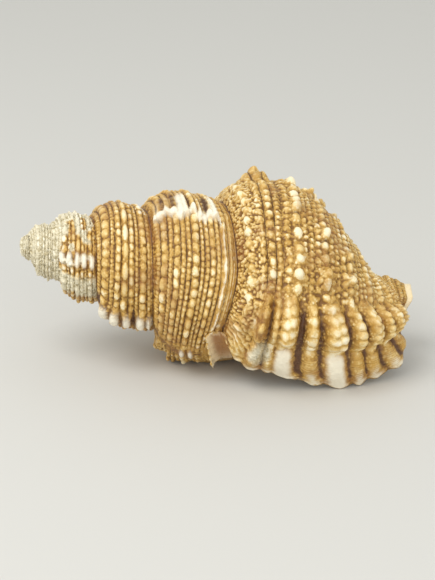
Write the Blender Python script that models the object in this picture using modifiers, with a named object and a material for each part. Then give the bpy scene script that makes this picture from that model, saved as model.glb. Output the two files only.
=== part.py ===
"""Frog shell: one closed solid, grown as one piece.

The shell is a strip wound on a cone. Along the strip runs the turn number k, counted from the
top of the body whorl, and across it runs v: 0 at the suture behind, 1 at the suture in front,
and on the last whorl on to 2 at the tip of the siphonal canal. A skin of the strip, a rim along
its free edge and the hollow behind the mouth close into one body.
"""
import math

import bmesh
import bpy
import numpy as np

NAME = "frog_shell"
MM = 0.001
WELD = 0.00002
APEX_CAP = 1.3

# Coil, in turns and millimetres
WHORLS = 6
TURN_LIP = 145 / 360
TURN_APEX = TURN_LIP - WHORLS
TOP_ANGLE = -20.0
RADIUS_SCALE = 74.5
RADIUS_GROWTH = 1.1493
SUTURE_SCALE = 89.9
SUTURE_GROWTH = 1.5
SUTURE_DEPTH = 0.97
SHOULDER_AT = 0.42
SIDE_END = 0.75
WORN_STEP = 0.6
WORN_TURNS = (-3.4, -2.0)
WORN_START = 0.5
LIP_CLIMB = 9.0
LIP_CLIMB_TURNS = (0.22, 0.44)
LAST_WHORL_FROM = -0.36
EDGE_DRAW = 0.031
EDGE_DRAW_TURNS = 0.12
EDGE_DRAW_ACROSS = 0.25

# Key outlines of the last whorl: degrees of turn past its top, and for each place ACROSS the
# strip the place along the axis and the radius, in millimetres
ACROSS = (0, 0.12, 0.25, 0.5, 0.75, 1.0, 1.2, 1.4, 1.6, 1.8, 2.0)
KEY_DEGREES = (-215, -120, -60, 0, 60, 105, 145)
KEY_PLACES = (
    (0, 0, 0, 0, 0, 0, 96, 108, 124, 142, 160),
    (64.6, 69.3, 75, 87, 98, 108, 117, 127, 138, 149, 160),
    (70.1, 75.1, 81.5, 94, 106, 116.5, 125, 133, 141, 150, 160),
    (76, 81.5, 89, 105, 115.3, 126, 133, 139, 145, 151.5, 160),
    (82, 87.3, 93.8, 107.5, 119.5, 130.5, 137.5, 143, 148, 152.5, 160),
    (86, 91, 97, 110, 122, 134, 142, 149, 153, 154, 160),
    (84, 88, 95, 107, 118, 129, 138, 147, 158.5, 155.5, 160),
)
KEY_RADII = (
    (0, 0, 0, 0, 0, 0, 27, 19.5, 12, 7, 1.5),
    (27.3, 32.8, 36, 36.9, 35.3, 31, 24, 16.5, 10.5, 8, 3.5),
    (28.8, 34.5, 37.8, 38.8, 36.5, 30.5, 22, 14.5, 9.8, 8.6, 4.5),
    (29.7, 37, 40.4, 40, 35, 26.5, 17, 11.5, 8.8, 8.8, 5),
    (31.5, 38.8, 41.3, 42, 38.5, 31, 22.5, 15.5, 11, 9.5, 5.8),
    (33, 40.5, 42.5, 43.5, 42, 37, 31, 25, 17.5, 11, 5.6),
    (33.4, 37, 41.5, 42.5, 44.5, 44.5, 43, 38.5, 30.5, 14, 4.6),
)
CANAL_BEND = 3.5
CANAL_BEND_FROM = 132.0
CANAL_BEND_OVER = 28.0
CANAL_BEND_POWER = 1.7
NORMAL_STEP = 0.0005

# Spiral cords: places across the strip, half width and height in mm, and their knobs
BODY_CORDS = (0.108, 0.262, 0.385, 0.455, 0.68, 0.79, 0.905, 1.112, 1.262, 1.412, 1.53, 1.645, 1.755)
SPIRE_CORDS = (0.15, 0.305, 0.462, 0.618, 0.775, 0.925)
CORD_HALF = 0.034
CORD_HEIGHT = 1.3
KNOBS_PER_TURN = 24
KNOB_SHARE = 0.5
BODY_CORD_TURNS = (-0.62, -0.5)
SUTURE_FADE = (0, 0.05)
CANAL_FADE = (2.0, 1.85)
GLUED_TURNS = 0.1
GLUED_HALF = 0.05

# Varices: turn, half width in turns behind and in front of the crest, height in mm, and the
# places across of the knobs on them and their half width
VARICES = (
    (-2.715, 0.026, 0.022, 1.7, (0.12, 0.30, 0.48, 0.67, 0.87), 0.062),
    (-1.572, 0.030, 0.022, 3.3, (0.20, 0.36, 0.55, 0.78, 0.93), 0.070),
    (-0.562, 0.016, 0.016, 2.2, (0.47, 0.60), 0.045),
    (-0.475, 0.030, 0.025, 2.8, (0.12, 0.30, 0.46, 0.64, 0.80), 0.070),
)
VARIX_FLOOR = 0.15
VARIX_POWER = 2.4

# Old lip edge on the whorl before: turn, height, reach behind it, then the places across between
# which it turns forwards along the suture, how far it runs on in turns, and the band's height
OLD_EDGE = (-0.865, 2.5, 0.045, 0.815, 0.860, 0.235, 1.1)

# Ribs behind the old lip edge: place across, half width
OLD_RIBS = (
    (0.10, 0.040),
    (0.21, 0.038),
    (0.37, 0.070),
    (0.50, 0.030),
    (0.585, 0.034),
    (0.77, 0.060),
    (0.91, 0.040),
)
OLD_RIB_SHARE = 0.55
OLD_BAND_TURNS = (-0.93, -0.87)
OLD_BAND_END = 0.03
OLD_EDGE_DROP = 0.004
OLD_EDGE_FADE = (0.02, 0.08)

# Lip: ribs across the strip with half width and height
LIP_RIBS = (
    (0.060, 0.030, 0.35),
    (0.140, 0.035, 0.45),
    (0.245, 0.045, 0.85),
    (0.322, 0.022, 0.50),
    (0.400, 0.056, 1.15),
    (0.550, 0.042, 0.85),
    (0.700, 0.070, 1.25),
    (0.862, 0.050, 0.95),
    (1.000, 0.052, 1.10),
    (1.145, 0.048, 0.90),
    (1.285, 0.046, 0.80),
    (1.430, 0.044, 0.75),
    (1.570, 0.044, 0.60),
)
LIP_SWING = 0.42
LIP_SWING_TURNS = (0.24, 0.403)
LIP_SWING_ACROSS = (0, 1.3)
LIP_SWING_END = (2.0, 1.65)
LIP_START = (0.235, 0.285)
LIP_LOBE = (0.310, 0.034, 0.026, 3.6)
LIP_SWELL = 1.7
LIP_WAIST = (0.3415, 0.009, 2.2)
LIP_FLANGE = (0.342, 0.36, 1.1)
LIP_EDGE_FADE = (0.372, 0.403, 0.75)

# Knobs of the body whorl: place across, turn, height, half width across and half length in mm
KNOBS = (
    (0.27, -0.004, 5.4, 3.9, 4.6),
    (0.44, 0.026, 3.4, 3.0, 3.8),
    (0.61, 0.030, 3.2, 2.8, 3.6),
    (0.76, 0.020, 3.0, 2.8, 3.4),
    (0.93, 0.010, 3.4, 2.8, 3.2),
    (1.09, 0.020, 2.4, 2.6, 3.0),
    (0.455, 0.117, 2.4, 2.8, 3.6),
    (0.455, 0.224, 2.8, 2.9, 4.6),
    (0.68, 0.157, 2.4, 2.6, 3.2),
    (0.68, 0.228, 3.0, 2.8, 3.2),
    (0.90, 0.180, 2.0, 2.4, 3.0),
    (0.90, 0.225, 2.2, 2.4, 3.0),
    (0.46, -0.11, 2.0, 2.8, 4.0),
    (0.72, -0.11, 2.0, 2.8, 4.0),
    (0.46, -0.23, 2.2, 2.8, 4.4),
    (0.72, -0.24, 2.2, 2.8, 4.0),
    (0.46, -0.35, 2.0, 2.8, 4.4),
)
STRIP_WIDTH = 50.0

# Trough of the anal canal beside the lip: place along the axis, radius and degrees of its left
# edge, floor and right edge, first where it starts and then where it ends
TROUGH_START = ((77.8, 37.4, 113.5), (81.2, 33.8, 111.0), (84.6, 37.6, 108.0))
TROUGH_FINISH = ((83.6, 40.8, 136.0), (87.2, 35.6, 137.5), (89.6, 38.6, 124.0))
TROUGH_WALL = 1.2
TROUGH_GRID = (12, 12)

# Wall and hollow
LIP_WALL = 1.0
WALL = 2.2
CALLUS = 1.0
HOLLOW_TURNS = 0.74
HOLLOW_RINGS = 16
HOLLOW_END = 0.62

PROBES = 400
LEAST_ROOM = 0.1

STEPS_PER_TURN = 96
ROWS_PER_WHORL = 26
LOOP = 3 * ROWS_PER_WHORL + STEPS_PER_TURN
TRIANGLE_SHARE = 0.23

# Rings of the hollow at the mouth: turns inwards, reach across the strip, wall
MOUTH_RINGS = (
    (0.0, 1.0, LIP_WALL),
    (0.012, 0.965, LIP_WALL + 0.3),
    (0.024, 0.93, LIP_WALL + 0.5),
)
DEEP_START = 0.03
DEEP_REACH = 0.90
DEEPEST_AT = 0.4
FULL_WALL_AT = 1 / 3
INNER_ROUNDING = 24
OUTER_ROUNDING = 8

# Rest pose: dip of the axis towards the canal and roll about it in degrees, height of the apex
# and the middle of the shell along and across, in millimetres
DIP = 11.1
APEX_HEIGHT = 49.7
ROLL = 1.8
MIDDLE = (79.437, -5.358)

# Worn base: how softly the underside is levelled, its clearance, how far its relief is worn off,
# and where along and across the shell that begins
BASE_EASE = 1.6
BASE_CLEAR = -0.45
BASE_SMOOTHING = 0.75
BASE_WIDTH = (-26, -14)
BASE_PLACE = (69, 79)
BASE_RELIEF = (1, 9)
GROUND_SIZE = 0.3


def smooth(low, high, value):
    """Ease from 0 at low to 1 at high."""
    t = np.clip((value - low) / (high - low), 0, 1)
    return t * t * (3 - 2 * t)


def shoulder_radius(k):
    """Radius of a whorl's shoulder."""
    return RADIUS_SCALE * np.maximum(RADIUS_GROWTH ** k - RADIUS_GROWTH ** TURN_APEX, 0)


def suture_place(k):
    """Place of the suture along the axis. Close to the lip it climbs back on the spire."""
    reach = SUTURE_GROWTH ** k - SUTURE_GROWTH ** (TURN_APEX + 1)
    return SUTURE_SCALE * np.maximum(reach, 0) - LIP_CLIMB * smooth(*LIP_CLIMB_TURNS, k)


def suture_radius(k):
    """Radius of the suture, just inside the shoulder of the whorl before, worn near the apex."""
    first = TURN_APEX + 1
    worn = WORN_STEP * (1 - smooth(*WORN_TURNS, k)) * smooth(first, first + WORN_START, k)
    before = shoulder_radius(k - 1)
    return SUTURE_DEPTH * before + worn * (shoulder_radius(k) - before)


def spire_outline(k, v):
    """Place and radius of a spire whorl: a rounded shoulder, then a nearly straight side."""
    place = suture_place(k) + (suture_place(k + 1) - suture_place(k)) * v
    rise = 1 - (1 - np.clip(v / SHOULDER_AT, 0, 1)) ** 2
    shoulder = shoulder_radius(k)
    radius = suture_radius(k) + (shoulder - suture_radius(k)) * rise
    return place, radius + (suture_radius(k + 1) - shoulder) * smooth(SIDE_END, 1, v)


def blend_weights(knots, values):
    """Weights of a smooth curve through uneven knots, one row for each value."""
    knots = np.array(knots, float)
    count = len(knots)
    values = np.clip(values, knots[0], knots[-1])
    low = np.clip(np.searchsorted(knots, values, side="right") - 1, 0, count - 2)
    span = knots[low + 1] - knots[low]
    t = (values - knots[low]) / span
    weights = np.zeros((len(values), count))
    rows = np.arange(len(values))
    weights[rows, low] += 2 * t ** 3 - 3 * t ** 2 + 1
    weights[rows, low + 1] += 3 * t ** 2 - 2 * t ** 3
    slopes = ((low, t ** 3 - 2 * t ** 2 + t), (low + 1, t ** 3 - t ** 2))
    for at, share in slopes:
        before = np.maximum(at - 1, 0)
        after = np.minimum(at + 1, count - 1)
        step = share * span / (knots[after] - knots[before])
        weights[rows, after] += step
        weights[rows, before] -= step
    return weights


def key_tables():
    """The key outlines, measured from the suture at each key."""
    turns = np.array(KEY_DEGREES) / 360
    across = np.array(ACROSS)
    places = np.array(KEY_PLACES, float)
    radii = np.array(KEY_RADII, float)
    shared = across <= 1
    first = np.full(shared.sum(), turns[0])
    places[0, shared], radii[0, shared] = spire_outline(first, across[shared])
    places -= suture_place(turns)[:, None]
    radii -= suture_radius(turns)[:, None]
    places[:, 0] = 0
    radii[:, 0] = 0
    return turns, across, places, radii


KEYS = key_tables()


def outline(k, v):
    """Place along the axis and radius of the skin, without its relief."""
    turns, across, places, radii = KEYS
    along_weights = blend_weights(turns, k)
    across_weights = blend_weights(across, v)
    place = np.einsum("ni,nj,ij->n", along_weights, across_weights, places)
    radius = np.einsum("ni,nj,ij->n", along_weights, across_weights, radii)
    spire_place, spire_radius = spire_outline(k, np.clip(v, 0, 1))
    last = np.where(v > 1, 1, smooth(TURN_LIP - 1, LAST_WHORL_FROM, k))
    start = suture_place(k)
    start_radius = suture_radius(k)
    place = start + (1 - last) * (spire_place - start) + last * place
    radius = start_radius + (1 - last) * (spire_radius - start_radius) + last * radius
    return place, radius


def over_ground(place, width, height):
    """Height over the resting plane of a point given in the shell's own axes."""
    dip = math.radians(DIP)
    roll = math.radians(ROLL)
    upright = height * math.cos(roll) - width * math.sin(roll)
    return APEX_HEIGHT + upright * math.cos(dip) - place * math.sin(dip)


def edge_draw(k, v):
    """How far the free edge stands back beside the suture, in turns."""
    at_lip = smooth(-EDGE_DRAW_TURNS, 0, k - TURN_LIP) * (1 - smooth(0, EDGE_DRAW_ACROSS, v))
    along = 1 - smooth(0, EDGE_DRAW_TURNS, np.abs(k - TURN_LIP + 1))
    return EDGE_DRAW * (at_lip + along * (1 - smooth(0, EDGE_DRAW_ACROSS, np.abs(v - 1))))


def skin(k, v):
    """Point of the smooth skin in the shell's own axes, in millimetres."""
    k = k - edge_draw(k, v)
    place, radius = outline(k, v)
    angle = 2 * math.pi * k + math.radians(TOP_ANGLE)
    bend = np.maximum((place - CANAL_BEND_FROM) / CANAL_BEND_OVER, 0)
    lift = CANAL_BEND * bend ** CANAL_BEND_POWER
    width = -radius * np.sin(angle)
    height = radius * np.cos(angle)
    above = over_ground(place, width, height) - BASE_CLEAR
    eased = 0.5 * (above + np.sqrt(above ** 2 + BASE_EASE ** 2))
    height += (eased - above) * smooth(*BASE_WIDTH, width)
    return np.stack((place, width, height + lift), axis=1)


def skin_normal(k, v):
    """Outward normal of the smooth skin."""
    along = skin(k + NORMAL_STEP, v) - skin(k - NORMAL_STEP, v)
    over = skin(k, np.minimum(v + NORMAL_STEP, 2)) - skin(k, np.maximum(v - NORMAL_STEP, 0))
    normal = np.cross(along, over)
    length = np.linalg.norm(normal, axis=1, keepdims=True)
    return normal / np.maximum(length, 1e-12)


def ridge(distance, half_width):
    """Rounded ridge, 1 on its crest."""
    return np.exp(-(distance / half_width) ** 2)


def swell(k, turn, behind, ahead):
    """Rises over one width behind the crest and drops over another in front of it."""
    return np.exp(-np.abs((k - turn) / np.where(k < turn, behind, ahead)) ** VARIX_POWER)


def lip_relief(k, v):
    """Height of the lip's ribs, their lobes, the waist and the fluted flange, in millimetres."""
    bell = smooth(*LIP_SWING_ACROSS, v) * smooth(*LIP_SWING_END, v)
    low, high = LIP_SWING_TURNS
    across = v - LIP_SWING * bell * np.clip((k - low) / (high - low), 0, 1)
    peak = np.zeros(len(k))
    for at, half, height in LIP_RIBS:
        peak = np.maximum(peak, height * np.exp(-np.abs((across - at) / half) ** 3.2))
    start = smooth(*LIP_START, k)
    lobe = swell(k, *LIP_LOBE[:3]) * start
    rise = peak * (start + LIP_LOBE[3] * lobe + LIP_FLANGE[2] * smooth(*LIP_FLANGE[:2], k))
    low, high, loss = LIP_EDGE_FADE
    rise = rise * (1 - loss * smooth(low, high, k))
    common = LIP_SWELL * lobe * smooth(0.12, 0.3, v) * smooth(1.7, 1.3, v)
    waist = LIP_WAIST[2] * ridge(k - LIP_WAIST[0], LIP_WAIST[1]) * smooth(0.05, 0.3, v)
    return (rise + common - waist) * smooth(2.0, 1.75, v)


def old_edge(k, v):
    """Height of the old lip: ribs that rise to its edge, and a band beside the suture."""
    turn, rise, reach, bend_from, bend_to, bend, band_rise = OLD_EDGE
    beside = smooth(bend_from, bend_to, v)
    edge = turn + bend * beside
    peak = OLD_RIB_SHARE * np.minimum(sum(ridge(v - at, half) for at, half in OLD_RIBS), 1)
    behind = k <= edge
    fade = np.where(behind, np.exp(np.minimum(k - edge, 0) / reach), ridge(k - edge, OLD_EDGE_DROP))
    height = rise * (1 - OLD_RIB_SHARE + peak) * fade * (1 - beside * (k > turn))
    height += band_rise * beside * behind * smooth(*OLD_BAND_TURNS, k) * smooth(0, OLD_BAND_END, edge - k)
    return height * (v < 1) * smooth(*OLD_EDGE_FADE, v)


def relief(k, v):
    """Height of cords, knobs, varices and lip ribs over the smooth skin, in millimetres."""
    scale = shoulder_radius(k) / shoulder_radius(0)
    share = np.where(v > 1, 1, smooth(*BODY_CORD_TURNS, k))
    knob = 0.5 + 0.5 * np.cos(2 * math.pi * KNOBS_PER_TURN * k)
    body = sum(ridge(v - at, CORD_HALF) for at in BODY_CORDS)
    spire = sum(ridge(v - at, CORD_HALF) for at in SPIRE_CORDS)
    on_last = (k > 0) * smooth(*LIP_START, k)
    cords = CORD_HEIGHT * scale * (share * body + (1 - share) * spire)
    height = cords * (1 - KNOB_SHARE + KNOB_SHARE * knob) * (1 - 0.6 * on_last)
    for turn, behind, ahead, rise, places, half in VARICES:
        knobs = sum(ridge(v - at, half) for at in places)
        crest = swell(k, turn, behind, ahead) * (v < 1)
        height += rise * crest * (VARIX_FLOOR + (1 - VARIX_FLOOR) * np.minimum(knobs, 1))
    height += old_edge(k, v)
    radius = np.maximum(shoulder_radius(k), 1)
    for at, turn, rise, half, length in KNOBS:
        along = (k - turn) * 2 * math.pi * radius / length
        over = (v - at) * STRIP_WIDTH / half
        height += rise * np.exp(-np.clip(along ** 2 + over ** 2, 0, 30))
    height += lip_relief(k, v) * (k > 0)
    glued = 1 - smooth(TURN_LIP - 1, TURN_LIP - 1 + GLUED_TURNS, k)
    fade = smooth(*SUTURE_FADE, v) * smooth(*CANAL_FADE, v)
    return height * fade * (1 - glued * ridge(v - 1, GLUED_HALF))


def shell_point(k, v):
    """Point of the outside of the shell, in the shell's own axes. Its base is worn smooth."""
    point = skin(k, v)
    place, width, height = point[:, 0], point[:, 1], point[:, 2]
    worn = 1 - smooth(*BASE_RELIEF, over_ground(place, width, height))
    worn *= smooth(*BASE_WIDTH, width) * smooth(*BASE_PLACE, place)
    return point + (relief(k, v) * (1 - BASE_SMOOTHING * worn))[:, None] * skin_normal(k, v)


def standing(points):
    """Turn points from the shell's own axes to the rest pose, in metres."""
    dip = math.radians(DIP)
    roll = math.radians(ROLL)
    x, width, y = points[:, 0], points[:, 1], points[:, 2]
    upright = y * math.cos(roll) - width * math.sin(roll)
    across = width * math.cos(roll) + y * math.sin(roll) - MIDDLE[1]
    level = x * math.cos(dip) + upright * math.sin(dip) - MIDDLE[0]
    height = upright * math.cos(dip) - x * math.sin(dip) + APEX_HEIGHT
    return np.stack((level, across, height), axis=1) * MM


def add_patch(mesh, columns, rows, place):
    """Grid of columns by rows whose points are moved to place(column, row)."""
    made = bmesh.ops.create_grid(mesh, x_segments=columns, y_segments=rows, size=0.5)
    verts = made["verts"]
    at = np.array([vert.co[:2] for vert in verts]) + 0.5
    points = place(np.rint(at[:, 0] * columns), np.rint(at[:, 1] * rows))
    for vert, point in zip(verts, points):
        vert.co = point


def strip_patch(column, row):
    """The whole strip between its sutures."""
    return standing(shell_point(TURN_APEX + column / STEPS_PER_TURN, row / ROWS_PER_WHORL))


def base_patch(column, row):
    """The last whorl in front of the suture line, down to the tip of the canal."""
    return standing(shell_point(TURN_LIP - 1 + column / STEPS_PER_TURN, 1 + row / ROWS_PER_WHORL))


def hollow_rings():
    """All rings from the rim to the closed end of the hollow: turns inwards, reach, wall."""
    rings = list(MOUTH_RINGS)
    for number in range(HOLLOW_RINGS):
        share = (number + 1) / HOLLOW_RINGS
        wall = LIP_WALL + (WALL - LIP_WALL) * min(1, share / FULL_WALL_AT)
        reach = DEEP_REACH + (HOLLOW_END - DEEP_REACH) * share
        rings.append((DEEP_START + (HOLLOW_TURNS - DEEP_START) * share, reach, wall))
    return rings


def section(turn, share, wall):
    """Hollow's section at a turn, share from the suture to the front: middle, direction, room."""
    outer = skin(turn, 2 * share)
    start = np.full(len(share), 1.0 + 1e-6)
    miss = skin(turn, 0 * share) - skin(turn - 1, start)
    inner = skin(turn - 1, 1 + share) + miss * ((1 - share) ** 2)[:, None]
    half = (outer - inner) / 2
    gap = np.linalg.norm(half, axis=1)
    return (outer + inner) / 2, half / np.maximum(gap, 1e-9)[:, None], gap - wall


def open_share(inward, wall):
    """Share of the section at which the whorls stand far enough apart for the hollow."""
    probe = np.linspace(0, 1, PROBES)
    room = section(np.full(PROBES, TURN_LIP - inward), probe, wall)[2]
    return probe[np.argmax(room > LEAST_ROOM)]


def rim_ring(on_outer, on_tip, share, tip_turn):
    """The free edge: along the lip, round the tip of the canal and back along the inner lip."""
    k = np.where(on_outer, TURN_LIP, TURN_LIP - 1)
    v = np.where(on_outer, 2 * share, 1 + share)
    return shell_point(np.where(on_tip, TURN_LIP - tip_turn, k), np.where(on_tip, 2.0, v))


def hollow_ring(index, on_outer, on_tip, share, tip_turn):
    """One ring of the hollow. Past the last ring it is the single end point."""
    rings = hollow_rings()
    inward, reach, wall = rings[min(index, len(rings)) - 1]
    turn = np.full(len(share), TURN_LIP - inward)
    if index > len(rings):
        return section(turn, np.full(len(share), DEEPEST_AT), wall)[0]
    at_mouth = index <= len(MOUTH_RINGS)
    start = open_share(inward, wall)
    middle, across, room = section(turn, start + (reach - start) * share, wall)
    room = np.maximum(room, 0) * np.sqrt(np.clip(1 - (1 - share) ** INNER_ROUNDING, 0, 1))
    if not at_mouth:
        room = room * np.sqrt(np.clip(1 - share ** OUTER_ROUNDING, 0, 1))
    down = room + wall - CALLUS if at_mouth else room
    offset = np.where(on_outer, room, -down)
    ring = middle + across * offset[:, None]
    if not at_mouth:
        return np.where(on_tip[:, None], middle, ring)
    k = turn - tip_turn
    v = np.full(len(share), 2 * reach)
    return np.where(on_tip[:, None], skin(k, v) - wall * skin_normal(k, v), ring)


def hollow_patch(column, row):
    """Rim and hollow: row 0 is the free edge of the skin, the last row is one point."""
    outer_count = 2 * ROWS_PER_WHORL
    tip_count = outer_count + STEPS_PER_TURN
    column = column % LOOP
    points = np.zeros((len(column), 3))
    for index in range(len(hollow_rings()) + 2):
        chosen = row == index
        at = column[chosen]
        on_outer = at <= outer_count
        on_inner = at >= tip_count
        on_tip = ~on_outer & ~on_inner
        share = np.where(on_outer, at / outer_count, 1.0)
        share = np.where(on_inner, (LOOP - at) / ROWS_PER_WHORL, share)
        tip_turn = (at - outer_count) / STEPS_PER_TURN
        if index == 0:
            points[chosen] = rim_ring(on_outer, on_tip, share, tip_turn)
        else:
            points[chosen] = hollow_ring(index, on_outer, on_tip, share, tip_turn)
    return standing(points)


def trough_patch(column, row):
    """Half pipe that lies on the whorl behind the lip, open outwards."""
    along = (column / TROUGH_GRID[0])[:, None]
    over = (row / TROUGH_GRID[1] * 2 - 1)[:, None]
    left, floor, right = ((1 - along) * np.array(a) + along * np.array(b)
                          for a, b in zip(TROUGH_START, TROUGH_FINISH))
    side = np.where(over < 0, left, right) - floor
    swing = np.abs(over) * math.pi / 2
    place = floor[:, 0] + side[:, 0] * np.sin(swing)[:, 0]
    radius = floor[:, 1] + side[:, 1] * (1 - np.cos(swing))[:, 0]
    angle = np.radians(floor[:, 2] + side[:, 2] * np.abs(over)[:, 0])
    return standing(np.stack((place, -radius * np.sin(angle), radius * np.cos(angle)), axis=1))


def add_cutter(name, mesh, cutters):
    """Hidden object that a Boolean modifier reads."""
    data = bpy.data.meshes.new(name)
    mesh.to_mesh(data)
    mesh.free()
    cutter = bpy.data.objects.new(name, data)
    cutters.objects.link(cutter)
    cutter.hide_render = True
    cutter.display_type = "WIRE"
    return cutter


def add_trough(cutters):
    """The trough as a closed sheet, to be joined to the shell."""
    mesh = bmesh.new()
    add_patch(mesh, *TROUGH_GRID, trough_patch)
    trough = add_cutter("anal_trough", mesh, cutters)
    wall = trough.modifiers.new("wall", "SOLIDIFY")
    wall.thickness = TROUGH_WALL * MM
    wall.offset = 0
    return trough


def add_ground(cutters):
    """Block under the resting plane, which cuts the worn flats the shell stands on."""
    mesh = bmesh.new()
    bmesh.ops.create_cube(mesh, size=GROUND_SIZE)
    bmesh.ops.translate(mesh, verts=mesh.verts, vec=(0, 0, -GROUND_SIZE / 2))
    return add_cutter("ground", mesh, cutters)


def clear_scene():
    for item in list(bpy.data.objects):
        bpy.data.objects.remove(item, do_unlink=True)


def shell_material():
    material = bpy.data.materials.new("shell_tan")
    material.use_nodes = True
    shader = material.node_tree.nodes["Principled BSDF"]
    shader.inputs["Base Color"].default_value = (0.56, 0.35, 0.14, 1)
    shader.inputs["Roughness"].default_value = 0.5
    shader.inputs["Metallic"].default_value = 0.0
    return material


def shell_mesh():
    """Skin, rim and hollow welded into one closed mesh."""
    mesh = bmesh.new()
    add_patch(mesh, WHORLS * STEPS_PER_TURN, ROWS_PER_WHORL, strip_patch)
    add_patch(mesh, STEPS_PER_TURN, ROWS_PER_WHORL, base_patch)
    add_patch(mesh, LOOP, len(hollow_rings()) + 1, hollow_patch)
    apex = standing(np.zeros((1, 3)))[0]
    tip = [vert for vert in mesh.verts if np.linalg.norm(np.array(vert.co) - apex) < APEX_CAP * MM]
    bmesh.ops.pointmerge(mesh, verts=tip, merge_co=apex)
    bmesh.ops.remove_doubles(mesh, verts=mesh.verts, dist=WELD)
    bmesh.ops.dissolve_degenerate(mesh, edges=mesh.edges, dist=WELD / 2)
    bmesh.ops.recalc_face_normals(mesh, faces=mesh.faces)
    data = bpy.data.meshes.new(NAME)
    mesh.to_mesh(data)
    mesh.free()
    data.materials.append(shell_material())
    data.shade_smooth()
    return data


def add_boolean(shell, name, operation, cutter):
    """Exact Boolean modifier."""
    cut = shell.modifiers.new(name, "BOOLEAN")
    cut.operation = operation
    cut.solver = "EXACT"
    cut.object = cutter


def main():
    clear_scene()
    parts = bpy.data.collections.new("frog_shell_parts")
    cutters = bpy.data.collections.new("cutters")
    for collection in (parts, cutters):
        bpy.context.scene.collection.children.link(collection)
    shell = bpy.data.objects.new(NAME, shell_mesh())
    parts.objects.link(shell)
    thin = shell.modifiers.new("thin", "DECIMATE")
    thin.ratio = TRIANGLE_SHARE
    add_boolean(shell, "anal_canal", "UNION", add_trough(cutters))
    add_boolean(shell, "worn_base", "DIFFERENCE", add_ground(cutters))


main()
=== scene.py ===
import math

import bmesh
import bpy
import numpy as np
from bpy.props import FloatProperty, FloatVectorProperty, IntProperty, PointerProperty
from mathutils import Matrix, Vector


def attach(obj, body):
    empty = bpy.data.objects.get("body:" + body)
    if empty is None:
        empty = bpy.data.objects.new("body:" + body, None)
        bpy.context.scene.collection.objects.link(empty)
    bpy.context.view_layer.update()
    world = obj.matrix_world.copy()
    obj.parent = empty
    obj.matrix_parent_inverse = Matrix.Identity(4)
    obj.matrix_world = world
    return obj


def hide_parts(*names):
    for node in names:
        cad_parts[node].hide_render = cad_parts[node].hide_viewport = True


bl_info = {
    "name": "Frog shell",
    "version": (1, 0, 0),
    "blender": (4, 5, 0),
    "location": "3D View > Sidebar > Frog shell",
    "description": "Builds a frog shell with its beaded cords, varices, ribbed lip and a studio stage",
    "category": "Add Mesh",
}

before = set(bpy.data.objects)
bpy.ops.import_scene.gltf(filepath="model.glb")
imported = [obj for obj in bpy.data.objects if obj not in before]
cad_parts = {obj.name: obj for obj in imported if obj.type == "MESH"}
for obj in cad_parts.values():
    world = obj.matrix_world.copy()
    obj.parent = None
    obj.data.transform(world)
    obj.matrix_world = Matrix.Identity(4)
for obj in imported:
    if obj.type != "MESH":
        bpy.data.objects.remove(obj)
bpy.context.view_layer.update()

MM = 0.001
WELD = 0.00002
APEX_CAP = 1.0

# Coil, in turns and millimetres, as in the solid
WHORLS = 6
TURN_LIP = 145 / 360
TURN_APEX = TURN_LIP - WHORLS
TOP_ANGLE = -20.0
RADIUS_SCALE = 74.5
RADIUS_GROWTH = 1.1493
SUTURE_SCALE = 89.9
SUTURE_GROWTH = 1.5
SUTURE_DEPTH = 0.97
SHOULDER_AT = 0.42
SIDE_END = 0.75
WORN_STEP = 0.6
WORN_TURNS = (-3.4, -2.0)
WORN_START = 0.5
LIP_CLIMB = 9.0
LIP_CLIMB_TURNS = (0.22, 0.44)
LAST_WHORL_FROM = -0.36
EDGE_DRAW = 0.031
EDGE_DRAW_TURNS = 0.12
EDGE_DRAW_ACROSS = 0.25

# Key outlines of the last whorl: degrees past its top, place and radius for each place ACROSS
ACROSS = (0, 0.12, 0.25, 0.5, 0.75, 1.0, 1.2, 1.4, 1.6, 1.8, 2.0)
KEY_DEGREES = (-215, -120, -60, 0, 60, 105, 145)
KEY_PLACES = (
    (0, 0, 0, 0, 0, 0, 96, 108, 124, 142, 160),
    (64.6, 69.3, 75, 87, 98, 108, 117, 127, 138, 149, 160),
    (70.1, 75.1, 81.5, 94, 106, 116.5, 125, 133, 141, 150, 160),
    (76, 81.5, 89, 105, 115.3, 126, 133, 139, 145, 151.5, 160),
    (82, 87.3, 93.8, 107.5, 119.5, 130.5, 137.5, 143, 148, 152.5, 160),
    (86, 91, 97, 110, 122, 134, 142, 149, 153, 154, 160),
    (84, 88, 95, 107, 118, 129, 138, 147, 158.5, 155.5, 160),
)
KEY_RADII = (
    (0, 0, 0, 0, 0, 0, 27, 19.5, 12, 7, 1.5),
    (27.3, 32.8, 36, 36.9, 35.3, 31, 24, 16.5, 10.5, 8, 3.5),
    (28.8, 34.5, 37.8, 38.8, 36.5, 30.5, 22, 14.5, 9.8, 8.6, 4.5),
    (29.7, 37, 40.4, 40, 35, 26.5, 17, 11.5, 8.8, 8.8, 5),
    (31.5, 38.8, 41.3, 42, 38.5, 31, 22.5, 15.5, 11, 9.5, 5.8),
    (33, 40.5, 42.5, 43.5, 42, 37, 31, 25, 17.5, 11, 5.6),
    (33.4, 37, 41.5, 42.5, 44.5, 44.5, 43, 38.5, 30.5, 14, 4.6),
)

# Canal: how far it bends up in mm, from which place, over what length and how sharply, then the
# flare of its edge in mm, and the places across of the flare and of its cream tip
CANAL_BEND = 3.5
CANAL_BEND_FROM = 132.0
CANAL_BEND_OVER = 28.0
CANAL_BEND_POWER = 1.7
CANAL_FLARE = 2.2
CANAL_FLARE_ACROSS = (1.90, 2.05)
CANAL_CREAM = (1.925, 1.95)
NORMAL_STEP = 0.0005

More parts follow.
